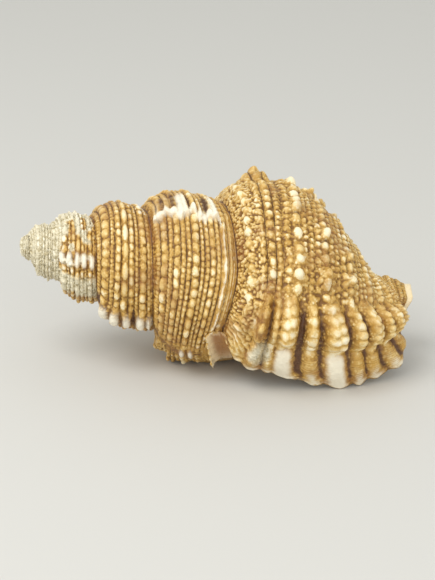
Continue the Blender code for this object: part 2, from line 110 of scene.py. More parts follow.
# Rest pose and worn base, as in the solid
DIP = 11.1
ROLL = 1.8
APEX_HEIGHT = 49.7
MIDDLE = (79.437, -5.358)
BASE_EASE = 1.6
BASE_CLEAR = -0.45
BASE_SMOOTHING = 0.75
BASE_WIDTH = (-26, -14)
BASE_PLACE = (69, 79)
BASE_RELIEF = (1, 9)

# Walls and hollow
LIP_WALL = 1.0
WALL = 2.2
CALLUS = 1.0
HOLLOW_TURNS = 0.74
HOLLOW_RINGS = 40
HOLLOW_END = 0.62
DEEP_START = 0.03
DEEP_REACH = 0.90
DEEPEST_AT = 0.4
FULL_WALL_AT = 1 / 3
INNER_ROUNDING = 24
OUTER_ROUNDING = 8
PROBES = 800
LEAST_ROOM = 0.1
MOUTH_RINGS = ((0.0, 1.0, 0.0), (0.004, 0.988, 0.1), (0.012, 0.965, 0.3), (0.024, 0.93, 0.5))

# Resolution of the grids
STEPS_PER_TURN = 560
ROWS_PER_WHORL = 96
ROW_CROWDING = 1.35
LOOP = 3 * ROWS_PER_WHORL + STEPS_PER_TURN

# Cords of the body whorl: place across the strip, half width in it, bead height and spacing in mm,
# ridge height
CORDS = (
    (0.110, 0.026, 1.90, 5.7, 0.00),
    (0.196, 0.020, 1.20, 3.6, 0.00),
    (0.262, 0.032, 2.10, 4.9, 0.10),
    (0.318, 0.021, 1.10, 2.7, 0.05),
    (0.385, 0.026, 1.35, 3.3, 0.15),
    (0.455, 0.038, 2.10, 5.9, 0.45),
    (0.512, 0.021, 1.05, 2.7, 0.15),
    (0.560, 0.021, 1.05, 2.8, 0.15),
    (0.615, 0.026, 1.25, 3.4, 0.20),
    (0.680, 0.034, 1.90, 5.2, 0.50),
    (0.740, 0.024, 1.20, 3.2, 0.20),
    (0.790, 0.021, 0.85, 2.8, 0.20),
    (0.845, 0.026, 1.10, 3.6, 0.30),
    (0.905, 0.030, 1.40, 4.6, 0.60),
    (0.958, 0.022, 0.90, 3.0, 0.25),
    (1.010, 0.022, 0.70, 2.9, 0.25),
    (1.058, 0.022, 0.70, 3.0, 0.30),
    (1.112, 0.038, 1.00, 4.4, 1.20),
    (1.165, 0.022, 0.70, 2.9, 0.20),
    (1.210, 0.022, 0.70, 2.9, 0.30),
    (1.262, 0.038, 0.90, 4.0, 1.30),
    (1.315, 0.022, 0.60, 2.8, 0.20),
    (1.360, 0.022, 0.60, 2.8, 0.30),
    (1.412, 0.038, 0.80, 3.8, 1.30),
    (1.465, 0.022, 0.60, 2.8, 0.20),
    (1.530, 0.036, 0.75, 3.6, 1.20),
    (1.592, 0.022, 0.55, 2.8, 0.20),
    (1.645, 0.030, 0.60, 3.2, 1.00),
    (1.700, 0.022, 0.50, 2.6, 0.20),
    (1.755, 0.030, 0.55, 3.0, 0.90),
    (1.810, 0.022, 0.45, 2.6, 0.20),
    (1.865, 0.026, 0.60, 3.0, 0.40),
    (1.920, 0.022, 0.40, 2.6, 0.20),
)

# Cords of the whorl before the last
SPIRE_CORDS = (
    (0.062, 0.030, 0.60, 2.4, 0.25),
    (0.135, 0.038, 1.50, 6.0, 0.45),
    (0.205, 0.026, 0.70, 2.3, 0.25),
    (0.278, 0.038, 1.30, 4.7, 0.45),
    (0.350, 0.027, 0.75, 2.5, 0.25),
    (0.415, 0.027, 0.80, 2.7, 0.25),
    (0.500, 0.048, 1.80, 4.8, 0.60),
    (0.578, 0.026, 0.75, 2.5, 0.25),
    (0.640, 0.028, 0.85, 3.0, 0.30),
    (0.708, 0.038, 1.30, 4.4, 0.45),
    (0.775, 0.027, 0.75, 2.6, 0.25),
    (0.845, 0.034, 0.95, 3.6, 0.40),
    (0.925, 0.030, 0.70, 3.0, 0.35),
)

# Cords of the early whorls, which carry few and broad ones
EARLY_CORDS = (
    (0.050, 0.030, 0.60, 2.4, 0.30),
    (0.160, 0.062, 1.60, 5.4, 0.70),
    (0.268, 0.028, 0.75, 2.3, 0.25),
    (0.375, 0.046, 1.15, 4.2, 0.60),
    (0.500, 0.062, 2.10, 8.6, 0.90),
    (0.618, 0.046, 1.15, 4.2, 0.60),
    (0.712, 0.028, 0.75, 2.3, 0.25),
    (0.825, 0.060, 1.60, 4.4, 0.80),
    (0.932, 0.034, 0.70, 2.8, 0.35),
)

# Cut lines between the spire's cords, how much duller its beads are, and where each set of cords ends
SPIRE_GROOVE_HALF = 0.012
SPIRE_GROOVE_DEPTH = 0.45
SPIRE_DIM = 0.12
SPIRE_TINT = 0.25
BODY_CORD_TURNS = (-0.62, -0.5)
EARLY_CORD_TURNS = (-1.56, -1.50)

# Scale of the relief on smaller whorls, and the length grown, which spaces the beads
RELIEF_SCALE = (0.05, 1.1)
LEAST_RELIEF = 0.25
SPACING_POWER = 0.3
TRAVEL_SAMPLES = 6000
LEAST_SHOULDER = 0.5

# Single beads: how far a row sways and over what length, how its spacing drifts, then least and
# spread of size, length and tint in shares, and how far a bead stands off its row
BEAD_REACH = 1.25
BEAD_SWAY = 0.006
SWAY_WAVE = 11
DRIFT = 0.6
DRIFT_WAVE = 14
CORD_LAG = 0.37
BEAD_SIZE = (0.48, 0.52)
BEAD_LENGTH = 0.34
SPIRE_BEAD_LENGTH = 0.42
BEAD_LENGTH_SPREAD = 0.09
BEAD_SHIFT = 0.14
BEAD_WANDER = 0.3
BEAD_TINT = (0.2, 0.8)
SMALL_BEAD_TINT = (0.35, 0.4)
LEDGE_POWER = 0.7
CROWN_POWER = 1.3

# Grains between the cords: length in mm, rows on the body whorl and on the spire and the turn where
# they change, scatter, least size and its spread, height in mm, and the zone below the suture that
# has grains alone
GRAIN_LENGTH = 1.7
GRAIN_ROWS = (41, 20)
GRAIN_BODY_FROM = -0.55
GRAIN_SCATTER = 0.8
GRAIN_SIZE = (0.36, 0.26)
GRAIN_RISE = 0.62
PLAIN_ZONE = (0.25, 0.19)

# Spiral grooves: place across, half width and depth in mm
GROOVES = (
    (0.183, 0.006, 0.5),
    *((at, 0.007, 0.9) for at in (0.228, 0.296)),
    (0.350, 0.006, 0.6),
    *((at, 0.006, 0.5) for at in (0.420, 0.490, 0.588)),
    (0.648, 0.006, 0.6),
    *((at, 0.006, 0.5) for at in (0.714, 0.875, 0.935)),
    (1.085, 0.007, 0.5),
    *((at, 0.007, 0.4) for at in (1.236, 1.386, 1.498, 1.618, 1.728, 1.838)),
)
DARKEST_GROOVE = 0.6

# Varices: turn, half width in turns behind and in front of the crest, height, whiteness, darkness
# between the knobs, and the places across of the knobs and their half width
VARICES = (
    (-2.715, 0.034, 0.026, 1.8, 1.0, 0.6, (0.12, 0.30, 0.48, 0.67, 0.87), 0.078),
    (-1.572, 0.034, 0.024, 3.7, 1.0, 1.0, (0.20, 0.36, 0.55, 0.78, 0.93), 0.078),
    (-0.562, 0.016, 0.016, 2.2, 0.9, 0.1, (0.47, 0.60), 0.045),
    (-0.475, 0.030, 0.025, 2.8, 0.3, 0.3, (0.12, 0.30, 0.46, 0.64, 0.80), 0.070),
)
KNOB_POWER = 2.6

# Old lip edge on the whorl before: turn, height, reach behind it, then the places across between
# which it turns forwards along the suture, and how far it runs on, in turns
OLD_EDGE = (-0.865, 2.5, 0.045, 0.815, 0.860, 0.235)

# Its rim beside the suture: place across, half width, height. Its waves: swing in turns, and waves
# across. Then where its band and ribs fade, and the golden strip beside it
OLD_RIM = (0.842, 0.012, 1.0)
OLD_WAVES = ((0.007, 23), (0.004, 61))
OLD_BAND_TURNS = (-0.93, -0.87)
OLD_RIBS_END = (0.12, 0.05)
OLD_GOLD_ACROSS = (0.72, 0.80)
OLD_GOLD_END = (-0.48, -0.56)

# Ribs behind the old lip edge: place across, half width, whiteness
OLD_RIBS = (
    (0.10, 0.040, 0.4),
    (0.21, 0.038, 0.3),
    (0.37, 0.070, 1.0),
    (0.50, 0.030, 0.2),
    (0.585, 0.034, 0.3),
    (0.77, 0.060, 1.0),
    (0.91, 0.040, 0.6),
)
OLD_FLUTES = 26

# Lip: ribs across the strip with half width, height and paleness
LIP_RIBS = (
    (0.060, 0.030, 0.35, 0.2),
    (0.140, 0.035, 0.45, 0.2),
    (0.240, 0.038, 1.25, 0.3),
    (0.322, 0.024, 0.85, 0.1),
    (0.400, 0.056, 1.15, 1.0),
    (0.550, 0.042, 0.85, 0.35),
    (0.700, 0.070, 1.25, 1.0),
    (0.862, 0.050, 0.95, 0.25),
    (1.000, 0.052, 1.10, 0.45),
    (1.145, 0.048, 0.90, 0.35),
    (1.285, 0.046, 0.80, 0.3),
    (1.430, 0.044, 0.75, 0.2),
    (1.570, 0.044, 0.60, 0.1),
)

# How far the lip's ribs swing towards the canal, and between which turns and places across
LIP_SWING = 0.42
LIP_SWING_TURNS = (0.24, 0.403)
LIP_SWING_ACROSS = (0, 1.3)
LIP_SWING_END = (2.0, 1.65)

# Lip in turns: its start; the lobe's turn, widths and rise in mm; the waist's turn, half width and
# depth; the flange's start, full height and rise; where the edge thins and by what share
LIP_START = (0.235, 0.285)
LIP_WIDEN = (0.24, 0.31)
LIP_LOBE = (0.310, 0.034, 0.026, 3.6)
LIP_SWELL = 1.7
LIP_WAIST = (0.3415, 0.009, 2.2)
LIP_FLANGE = (0.342, 0.36, 1.1)
LIP_EDGE_FADE = (0.372, 0.403, 0.75)
LIP_RIB_POWER = 3.2

# Lumps on the ribs: spacing and rise in mm, where they begin across, half length, half widths alone
# and in pairs, and the rib that is wide enough for a pair
LIP_BEAD = 3.7
LUMP_RISE = 0.9
LUMPY_FROM = (0.18, 0.38)
LUMP_LENGTH = 0.47
LUMP_WIDTHS = (0.95, 0.62)
LUMP_PAIR_FROM = 0.05

# Free edge between the ribs: how far it stands back and over what turns, and the places across
SCALLOP = 0.0055
SCALLOP_TURNS = 0.03
SCALLOP_START = (0.12, 0.25)
SCALLOP_END = (1.75, 1.6)

# Growth lines and the arcs beside the notch: turns, width and rise; the notch's turn, place, width
GROWTH_SPACING = 1.1
GROWTH_RISE = 0.22
LIP_ARCS = (0.300, 0.335, 3.1, 0.6)
NOTCH = (0.385, 0.10, 45.0)

# Turns from which the lip is dark between its ribs, white on them, pale at its rim and cream, and
# its scar: turn, half length, place across, half width
RIB_GAP_TURNS = (0.25, 0.30)
LIP_WHITE = (0.338, 0.350)
LIP_RIM = (0.386, 0.400)
LIP_CREAM = (0.356, 0.390)
LIP_SCAR = (0.358, 0.022, 0.275, 0.060)
BASE_ACROSS = (2.0, 1.75)

# Dark creases of the base: share of the pattern, turns in which they rise and end, darkness
CREASE_SHARE = (0.38, 0.60)
CREASE_TURNS = (-0.02, 0.06, 0.24, 0.30)
CREASE_DARKNESS = 0.95

# Worn places: a chalky band, the apex and its tip, in turns, and the depth of pits in mm; then the half
# width of the painted shade along the suture
CHALKY = (-2.61, 0.055, 0.055, 4)
APEX_WEAR = (-2.45, -3.02)
TIP_WEAR = (-3.0, -3.15)
PIT_DEPTH = 1.3
SUTURE_LINE = 0.014

# Knobs: place across, turn, height, half width across and half length in mm, painted shadow in front
KNOBS = (
    (0.27, -0.004, 5.4, 3.9, 4.6, 0),
    (0.44, 0.026, 3.4, 3.0, 3.8, 0),
    (0.61, 0.030, 3.2, 2.8, 3.6, 0),
    (0.76, 0.020, 3.0, 2.8, 3.4, 0),
    (0.93, 0.010, 3.4, 2.8, 3.2, 0),
    (1.09, 0.020, 2.4, 2.6, 3.0, 0),
    (0.255, 0.060, 1.4, 2.4, 3.0, 0),
    (0.455, 0.117, 2.4, 2.8, 3.6, 1),
    (0.455, 0.212, 2.6, 2.9, 3.4, 0.2),
    (0.455, 0.236, 2.8, 3.1, 3.0, 1),
    (0.68, 0.157, 2.4, 2.6, 3.2, 1),
    (0.68, 0.228, 3.0, 2.8, 3.2, 1),
    (0.90, 0.180, 2.0, 2.4, 3.0, 1),
    (0.90, 0.225, 2.2, 2.4, 3.0, 1),
    (0.105, 0.080, 0.9, 2.2, 2.8, 0),
    (0.46, -0.11, 2.0, 2.8, 4.0, 1),
    (0.72, -0.11, 2.0, 2.8, 4.0, 1),
    (0.46, -0.23, 2.2, 2.8, 4.4, 1),
    (0.72, -0.24, 2.2, 2.8, 4.0, 1),
    (0.46, -0.35, 2.0, 2.8, 4.4, 1),
)
STRIP_WIDTH = 50

# Anal trough beside the lip: place along the axis, radius and degrees of its left edge, floor and
# right edge, first where it starts and then where it ends
TROUGH_START = ((77.8, 37.4, 113.5), (81.2, 33.8, 111.0), (84.6, 37.6, 108.0))
TROUGH_FINISH = ((83.6, 40.8, 136.0), (87.2, 35.6, 137.5), (89.6, 38.6, 124.0))
TROUGH_WALL = 1.1
TROUGH_SIDE_WALL = 0.8
TROUGH_NICKS = (0.07, -0.2, 40)
TROUGH_JAGS = ((0.05, 31, 0), (0.04, 67, 1))
TROUGH_GRID = (60, 60)

# Soft noises over the strip: bands in a turn and across it, and a salt
PATTERNS = {
    "cut": (40, 90, 2.0),
    "varix_wear": (70, 7, 16.0),
    "spots": (13, 5, 15.0),
    "flutes": (20, 4, 3.0),
    "growth": (9, 9, 5.0),
    "arcs": (24, 9, 6.0),
    "crease": (18, 5, 13.0),
    "blotch": (26, 5, 9.0),
    "apex_wear": (34, 6, 14.0),
}
HASH = (12.9898, 78.233, 37.719, 43758.5453)

# Masks inside the shell and in the trough
INSIDE_CROWN = 0.6
TROUGH_PALE = 0.2

# Scales of the finish's patches, mottling, specks and cells, in bands per metre
PATCHES = 60.0
MOTTLE = 300.0
SPECKS = 1400.0
CELLS = 640.0
BUMP_DEPTH = 0.0006

TRIANGLES = 196000

# Area lights: size, place and target
KEY_LIGHT = (0.6, (-0.45, -0.35, 0.95), (0, 0, 0.03))
FILL_LIGHT = (0.9, (0.35, -0.95, 0.28), (0, 0, 0.03))
SIDE_LIGHT = (0.5, (-0.95, -0.25, 0.22), (0, 0, 0.02))
ROOM_COLOUR = (0.93, 0.94, 0.92, 1)

# Camera: the point it looks at, its back and right directions, metres away, focal length in pixels
CAMERA_TARGET = (0.000165, 0.004580, 0.02832)
CAMERA_BACK = (-0.04354, -0.92770, 0.37079)
CAMERA_RIGHT = (0.99893, -0.04627, 0.00152)
CAMERA_DISTANCE = 0.7755
CAMERA_FOCAL = 1900.0
PICTURE_HEIGHT = 580
SENSOR = 24.0


def smooth(low, high, value):
    """Ease from 0 at low to 1 at high."""
    t = np.clip((value - low) / (high - low), 0, 1)
    return t * t * (3 - 2 * t)


def noise(a, b, salt=0.0):
    """Repeatable number from 0 to 1 for each pair of whole numbers."""
    wave = np.sin(a * HASH[0] + b * HASH[1] + salt * HASH[2]) * HASH[3]
    return wave - np.floor(wave)


def soft_noise(a, b, salt=0.0):
    """Smooth noise from 0 to 1 over the plane of a and b."""
    low_a = np.floor(a)
    low_b = np.floor(b)
    s = a - low_a
    t = b - low_b
    s = s * s * (3 - 2 * s)
    t = t * t * (3 - 2 * t)
    near = noise(low_a, low_b, salt) * (1 - s) + noise(low_a + 1, low_b, salt) * s
    far = noise(low_a, low_b + 1, salt) * (1 - s) + noise(low_a + 1, low_b + 1, salt) * s
    return near * (1 - t) + far * t


def pattern(name, k, v):
    """One of the soft noises over the strip."""
    along, over, salt = PATTERNS[name]
    return soft_noise(k * along, v * over, salt)


def shoulder_radius(k):
    """Radius of a whorl's shoulder."""
    return RADIUS_SCALE * np.maximum(RADIUS_GROWTH ** k - RADIUS_GROWTH ** TURN_APEX, 0)


def suture_place(k):
    """Place of the suture along the axis. Close to the lip it climbs back on the spire."""
    reach = SUTURE_GROWTH ** k - SUTURE_GROWTH ** (TURN_APEX + 1)
    return SUTURE_SCALE * np.maximum(reach, 0) - LIP_CLIMB * smooth(*LIP_CLIMB_TURNS, k)


def suture_radius(k):
    """Radius of the suture, just inside the shoulder of the whorl before, worn near the apex."""
    first = TURN_APEX + 1
    worn = WORN_STEP * (1 - smooth(*WORN_TURNS, k)) * smooth(first, first + WORN_START, k)
    before = shoulder_radius(k - 1)
    return SUTURE_DEPTH * before + worn * (shoulder_radius(k) - before)


def spire_outline(k, v):
    """Place and radius of a spire whorl: a rounded shoulder, then a nearly straight side."""
    place = suture_place(k) + (suture_place(k + 1) - suture_place(k)) * v
    rise = 1 - (1 - np.clip(v / SHOULDER_AT, 0, 1)) ** 2
    shoulder = shoulder_radius(k)
    radius = suture_radius(k) + (shoulder - suture_radius(k)) * rise
    return place, radius + (suture_radius(k + 1) - shoulder) * smooth(SIDE_END, 1, v)


def blend_weights(knots, values):
    """Weights of a smooth curve through uneven knots, one row for each value."""
    knots = np.array(knots, float)
    count = len(knots)
    values = np.clip(values, knots[0], knots[-1])
    low = np.clip(np.searchsorted(knots, values, side="right") - 1, 0, count - 2)
    span = knots[low + 1] - knots[low]
    t = (values - knots[low]) / span
    weights = np.zeros((len(values), count))
    rows = np.arange(len(values))
    weights[rows, low] += 2 * t ** 3 - 3 * t ** 2 + 1
    weights[rows, low + 1] += 3 * t ** 2 - 2 * t ** 3
    slopes = ((low, t ** 3 - 2 * t ** 2 + t), (low + 1, t ** 3 - t ** 2))
    for at, share in slopes:
        before = np.maximum(at - 1, 0)
        after = np.minimum(at + 1, count - 1)
        step = share * span / (knots[after] - knots[before])
        weights[rows, after] += step
        weights[rows, before] -= step
    return weights


def key_tables():
    """The key outlines, measured from the suture at each key."""
    turns = np.array(KEY_DEGREES) / 360
    across = np.array(ACROSS)
    places = np.array(KEY_PLACES, float)
    radii = np.array(KEY_RADII, float)
    shared = across <= 1
    first = np.full(shared.sum(), turns[0])
    places[0, shared], radii[0, shared] = spire_outline(first, across[shared])
    places -= suture_place(turns)[:, None]
    radii -= suture_radius(turns)[:, None]
    places[:, 0] = 0
    radii[:, 0] = 0
    return turns, across, places, radii


KEYS = key_tables()


def outline(k, v):
    """Place along the axis and radius of the skin, without its relief."""
    turns, across, places, radii = KEYS
    along_weights = blend_weights(turns, k)
    across_weights = blend_weights(across, v)
    place = np.einsum("ni,nj,ij->n", along_weights, across_weights, places, optimize=True)
    radius = np.einsum("ni,nj,ij->n", along_weights, across_weights, radii, optimize=True)
    spire_place, spire_radius = spire_outline(k, np.clip(v, 0, 1))
    last = np.where(v > 1, 1, smooth(TURN_LIP - 1, LAST_WHORL_FROM, k))
    start = suture_place(k)
    start_radius = suture_radius(k)
    place = start + (1 - last) * (spire_place - start) + last * place
    radius = start_radius + (1 - last) * (spire_radius - start_radius) + last * radius
    return place, radius


def over_ground(place, width, height):
    """Height over the resting plane of a point given in the shell's own axes."""
    dip = math.radians(DIP)
    roll = math.radians(ROLL)
    upright = height * math.cos(roll) - width * math.sin(roll)
    return APEX_HEIGHT + upright * math.cos(dip) - place * math.sin(dip)


def lip_across(k, v):
    """Place across in the lip, whose ribs swing towards the canal."""
    bell = smooth(*LIP_SWING_ACROSS, v) * smooth(*LIP_SWING_END, v)
    low, high = LIP_SWING_TURNS
    return v - LIP_SWING * bell * np.clip((k - low) / (high - low), 0, 1)


def scallop(k, v):
    """How far the free edge stands back between the ends of the ribs, in turns."""
    across = lip_across(k, v)
    rib = np.zeros(len(v))
    for at, half, _, _ in LIP_RIBS:
        rib = np.maximum(rib, ridge(across - at, half))
    return SCALLOP * (1 - rib) * smooth(*SCALLOP_START, v) * smooth(*SCALLOP_END, v)


def edge_draw(k, v):
    """How far the free edge stands back beside the suture, in turns."""
    at_lip = smooth(-EDGE_DRAW_TURNS, 0, k - TURN_LIP) * (1 - smooth(0, EDGE_DRAW_ACROSS, v))
    along = 1 - smooth(0, EDGE_DRAW_TURNS, np.abs(k - TURN_LIP + 1))
    draw = EDGE_DRAW * (at_lip + along * (1 - smooth(0, EDGE_DRAW_ACROSS, np.abs(v - 1))))
    near = k > TURN_LIP - SCALLOP_TURNS
    if near.any():
        draw[near] += scallop(k[near], v[near]) * smooth(-SCALLOP_TURNS, 0, k[near] - TURN_LIP)
    return draw


def skin(k, v):
    """Point of the smooth skin in the shell's own axes, in millimetres."""
    k = k - edge_draw(k, v)
    place, radius = outline(k, v)
    radius += CANAL_FLARE * smooth(*CANAL_FLARE_ACROSS, v)
    angle = 2 * math.pi * k + math.radians(TOP_ANGLE)
    bend = np.maximum((place - CANAL_BEND_FROM) / CANAL_BEND_OVER, 0)
    lift = CANAL_BEND * bend ** CANAL_BEND_POWER
    width = -radius * np.sin(angle)
    height = radius * np.cos(angle)
    above = over_ground(place, width, height) - BASE_CLEAR
    eased = 0.5 * (above + np.sqrt(above ** 2 + BASE_EASE ** 2))
    height += (eased - above) * smooth(*BASE_WIDTH, width)
    return np.stack((place, width, height + lift), axis=1)


def skin_normal(k, v):
    """Outward normal of the smooth skin."""
    along = skin(k + NORMAL_STEP, v) - skin(k - NORMAL_STEP, v)
    over = skin(k, np.minimum(v + NORMAL_STEP, 2)) - skin(k, np.maximum(v - NORMAL_STEP, 0))
    normal = np.cross(along, over)
    length = np.linalg.norm(normal, axis=1, keepdims=True)
    return normal / np.maximum(length, 1e-12)


def standing(points):
    """Turn points from the shell's own axes to the rest pose, in metres."""
    dip = math.radians(DIP)
    roll = math.radians(ROLL)
    x, width, y = points[:, 0], points[:, 1], points[:, 2]
    upright = y * math.cos(roll) - width * math.sin(roll)
    across = width * math.cos(roll) + y * math.sin(roll) - MIDDLE[1]
    level = x * math.cos(dip) + upright * math.sin(dip) - MIDDLE[0]
    height = upright * math.cos(dip) - x * math.sin(dip) + APEX_HEIGHT
    return np.stack((level, across, height), axis=1) * MM


def travel_table(power):
    """Length grown along the shoulder at each turn, in bead steps of one millimetre."""
    turns = np.linspace(TURN_APEX - 0.01, TURN_LIP + 0.01, TRAVEL_SAMPLES)
    radius = np.maximum(shoulder_radius(turns), LEAST_SHOULDER)
    full = shoulder_radius(0.0)
    rate = 2 * math.pi * radius / (radius / full) ** power
    steps = np.concatenate(([0], np.cumsum((rate[1:] + rate[:-1]) / 2 * np.diff(turns))))
    return turns, steps


TRAVEL = travel_table(SPACING_POWER)


def travel(k):
    """Length grown along the shoulder at each of the turns k."""
    return np.interp(k, *TRAVEL)


def ridge(distance, half_width, power=2):
    """Rounded ridge, 1 on its crest. A higher power gives it a flatter top."""
    return np.exp(-np.abs(distance / half_width) ** power)


def swell(k, turn, behind, ahead, power=2.4):
    """Rises over one width behind the crest and drops over another in front of it."""
    return ridge(k - turn, np.where(k < turn, behind, ahead), power)


def across_scale(k):
    """Width of the strip compared with the last whorl's, for the height of the relief."""
    return np.clip(shoulder_radius(k) / shoulder_radius(0.0), *RELIEF_SCALE)


def lift(mask, value):
    """Raise a mask to a value where it is lower."""
    np.maximum(mask, value, out=mask)


def bead_rows(k, v, cords, salt):
    """Height of beaded cords in mm, a number for each bead that varies its colour, its dome."""
    way = travel(k)
    height = np.zeros(len(k))
    tint = np.full(len(k), 0.5)
    crown = np.zeros(len(k))
    least_length = SPIRE_BEAD_LENGTH if salt else BEAD_LENGTH
    for number, (at, half, rise, spacing, ridge_height) in enumerate(cords):
        near = np.abs(v - at) < BEAD_REACH * half + BEAD_SWAY
        if not near.any():
            continue
        row = number + salt
        rows = np.full(near.sum(), row)
        sway = BEAD_SWAY * (2 * soft_noise(way[near] / SWAY_WAVE, rows, 8.0) - 1)
        offset = (v[near] - at - sway) / half
        drift = DRIFT * soft_noise(way[near] / DRIFT_WAVE, rows, 3.0)
        step = way[near] / spacing + drift + CORD_LAG * number
        whole = np.floor(step)
        size = BEAD_SIZE[0] + BEAD_SIZE[1] * noise(whole, row, 1.0)
        length = least_length + BEAD_LENGTH_SPREAD * noise(whole, row, 2.0)
        shift = BEAD_SHIFT * (noise(whole, row, 4.0) - 0.5)
        along = (step - whole - 0.5 - shift) / length
        wander = BEAD_WANDER * (noise(whole, row, 5.0) - 0.5)
        dome = np.sqrt(np.clip(1 - along ** 2 - (offset - wander) ** 2, 0, 1))
        ledge = ridge_height * np.clip(1 - offset ** 2, 0, 1) ** LEDGE_POWER
        total = rise * size * dome + ledge
        better = total > height[near]
        height[near] = np.where(better, total, height[near])
        strength = min(1, SMALL_BEAD_TINT[0] + SMALL_BEAD_TINT[1] * rise)
        shade = (BEAD_TINT[0] + BEAD_TINT[1] * noise(whole, row, 6.0)) * strength
        tint[near] = np.where(better, shade, tint[near])
        shown = dome * (0.55 + 0.45 * size) + 0.25 * (ledge > 0.2)
        shown = np.minimum(1, shown + 0.35 * np.clip(ledge - 0.6, 0, 1))
        crown[near] = np.maximum(crown[near], shown ** CROWN_POWER)
    return height, tint, crown


def beads(k, v):
    """Beads of the early whorls, the spire and the body whorl, blended where they meet."""
    sets = (bead_rows(k, v, *chosen) for chosen in ((CORDS, 0), (SPIRE_CORDS, 50), (EARLY_CORDS, 80)))
    share = np.where(v > 1, 1, smooth(*BODY_CORD_TURNS, k))
    old = 1 - smooth(*EARLY_CORD_TURNS, k)
    return [
        share * body + (1 - share) * ((1 - old) * spire + old * early)
        for body, spire, early in zip(*sets)
    ]


def between_cords(k, v, cords):
    """Mask of the cut lines half way between cords."""
    line = np.zeros(len(k))
    for first, second in zip(cords, cords[1:]):
        at = (first[0] + first[1] + second[0] - second[1]) / 2
        lift(line, ridge(v - at, SPIRE_GROOVE_HALF))
    return line * (0.5 + 0.5 * pattern("cut", k, v))


def granules(k, v):
    """Fine grains between the cords."""
    way = travel(k) / GRAIN_LENGTH
    over = v * np.where(k > GRAIN_BODY_FROM, *GRAIN_ROWS)
    height = np.zeros(len(k))
    cell_a = np.floor(way)
    cell_b = np.floor(over)
    for da in (-1, 0, 1):
        for db in (-1, 0, 1):
            a = cell_a + da
            b = cell_b + db
            centre_a = a + 0.5 + GRAIN_SCATTER * (noise(a, b, 7.0) - 0.5)
            centre_b = b + 0.5 + GRAIN_SCATTER * (noise(a, b, 8.0) - 0.5)
            size = GRAIN_SIZE[0] + GRAIN_SIZE[1] * noise(a, b, 9.0)
            gap = ((way - centre_a) ** 2 + (over - centre_b) ** 2) / size ** 2
            lift(height, np.sqrt(np.clip(1 - gap, 0, 1)))
    return height


class Lip:
    """The lip at points of the strip: its rise in mm, and masks of its parts."""

    def __init__(self, k, v):
        self.rib, self.pale, self.lump = np.zeros((3, len(k)))
        across = lip_across(k, v)
        peak = self.ribs(k, across)
        start = smooth(*LIP_START, k)
        flange = smooth(*LIP_FLANGE[:2], k)
        low, high, loss = LIP_EDGE_FADE
        self.edge = smooth(low, high, k)
        lobe = swell(k, *LIP_LOBE[:3]) * start
        rise = peak * (start + LIP_LOBE[3] * lobe + LIP_FLANGE[2] * flange) * (1 - loss * self.edge)
        rise += LUMP_RISE * self.lump * start * (1 - flange)
        common = LIP_SWELL * lobe * smooth(0.12, 0.3, v) * smooth(1.7, 1.3, v)
        waist = LIP_WAIST[2] * ridge(k - LIP_WAIST[0], LIP_WAIST[1]) * smooth(0.05, 0.3, v)
        self.rise = rise + common - waist * (0.4 + 0.6 * self.rib)
        turn, length, at, half = LIP_SCAR
        self.scar = ridge(k - turn, length) * ridge(across - at, half)
        self.on = (k > TURN_LIP - 1) & (k > 0)
        self.start = start * self.on
        self.flange = flange * self.on

    def ribs(self, k, across):
        """Ribs and the lumps on them. A broad rib has two rows of lumps. Gives the ribs' height."""
        peak = np.zeros(len(k))
        widen = 0.6 + 0.4 * smooth(*LIP_WIDEN, k)
        way = travel(k) / LIP_BEAD
        for number, (at, half, height, white) in enumerate(LIP_RIBS):
            strip = ridge(across - at, half * widen, LIP_RIB_POWER)
            lift(self.rib, strip)
            lift(peak, strip * height)
            lift(self.pale, strip * white)
            broad = half > LUMP_PAIR_FROM
            for column in (-0.5, 0.5) if broad else (0.0,):
                step = way + 0.4 * number + 0.3 * column + 0.5
                aside = (across - at - column * half) / (half * LUMP_WIDTHS[int(broad)])
                dome = 1 - ((step - np.floor(step) - 0.5) / LUMP_LENGTH) ** 2 - aside ** 2
                lift(self.lump, smooth(*LUMPY_FROM, at) * np.sqrt(np.clip(dome, 0, 1)))
        return peak


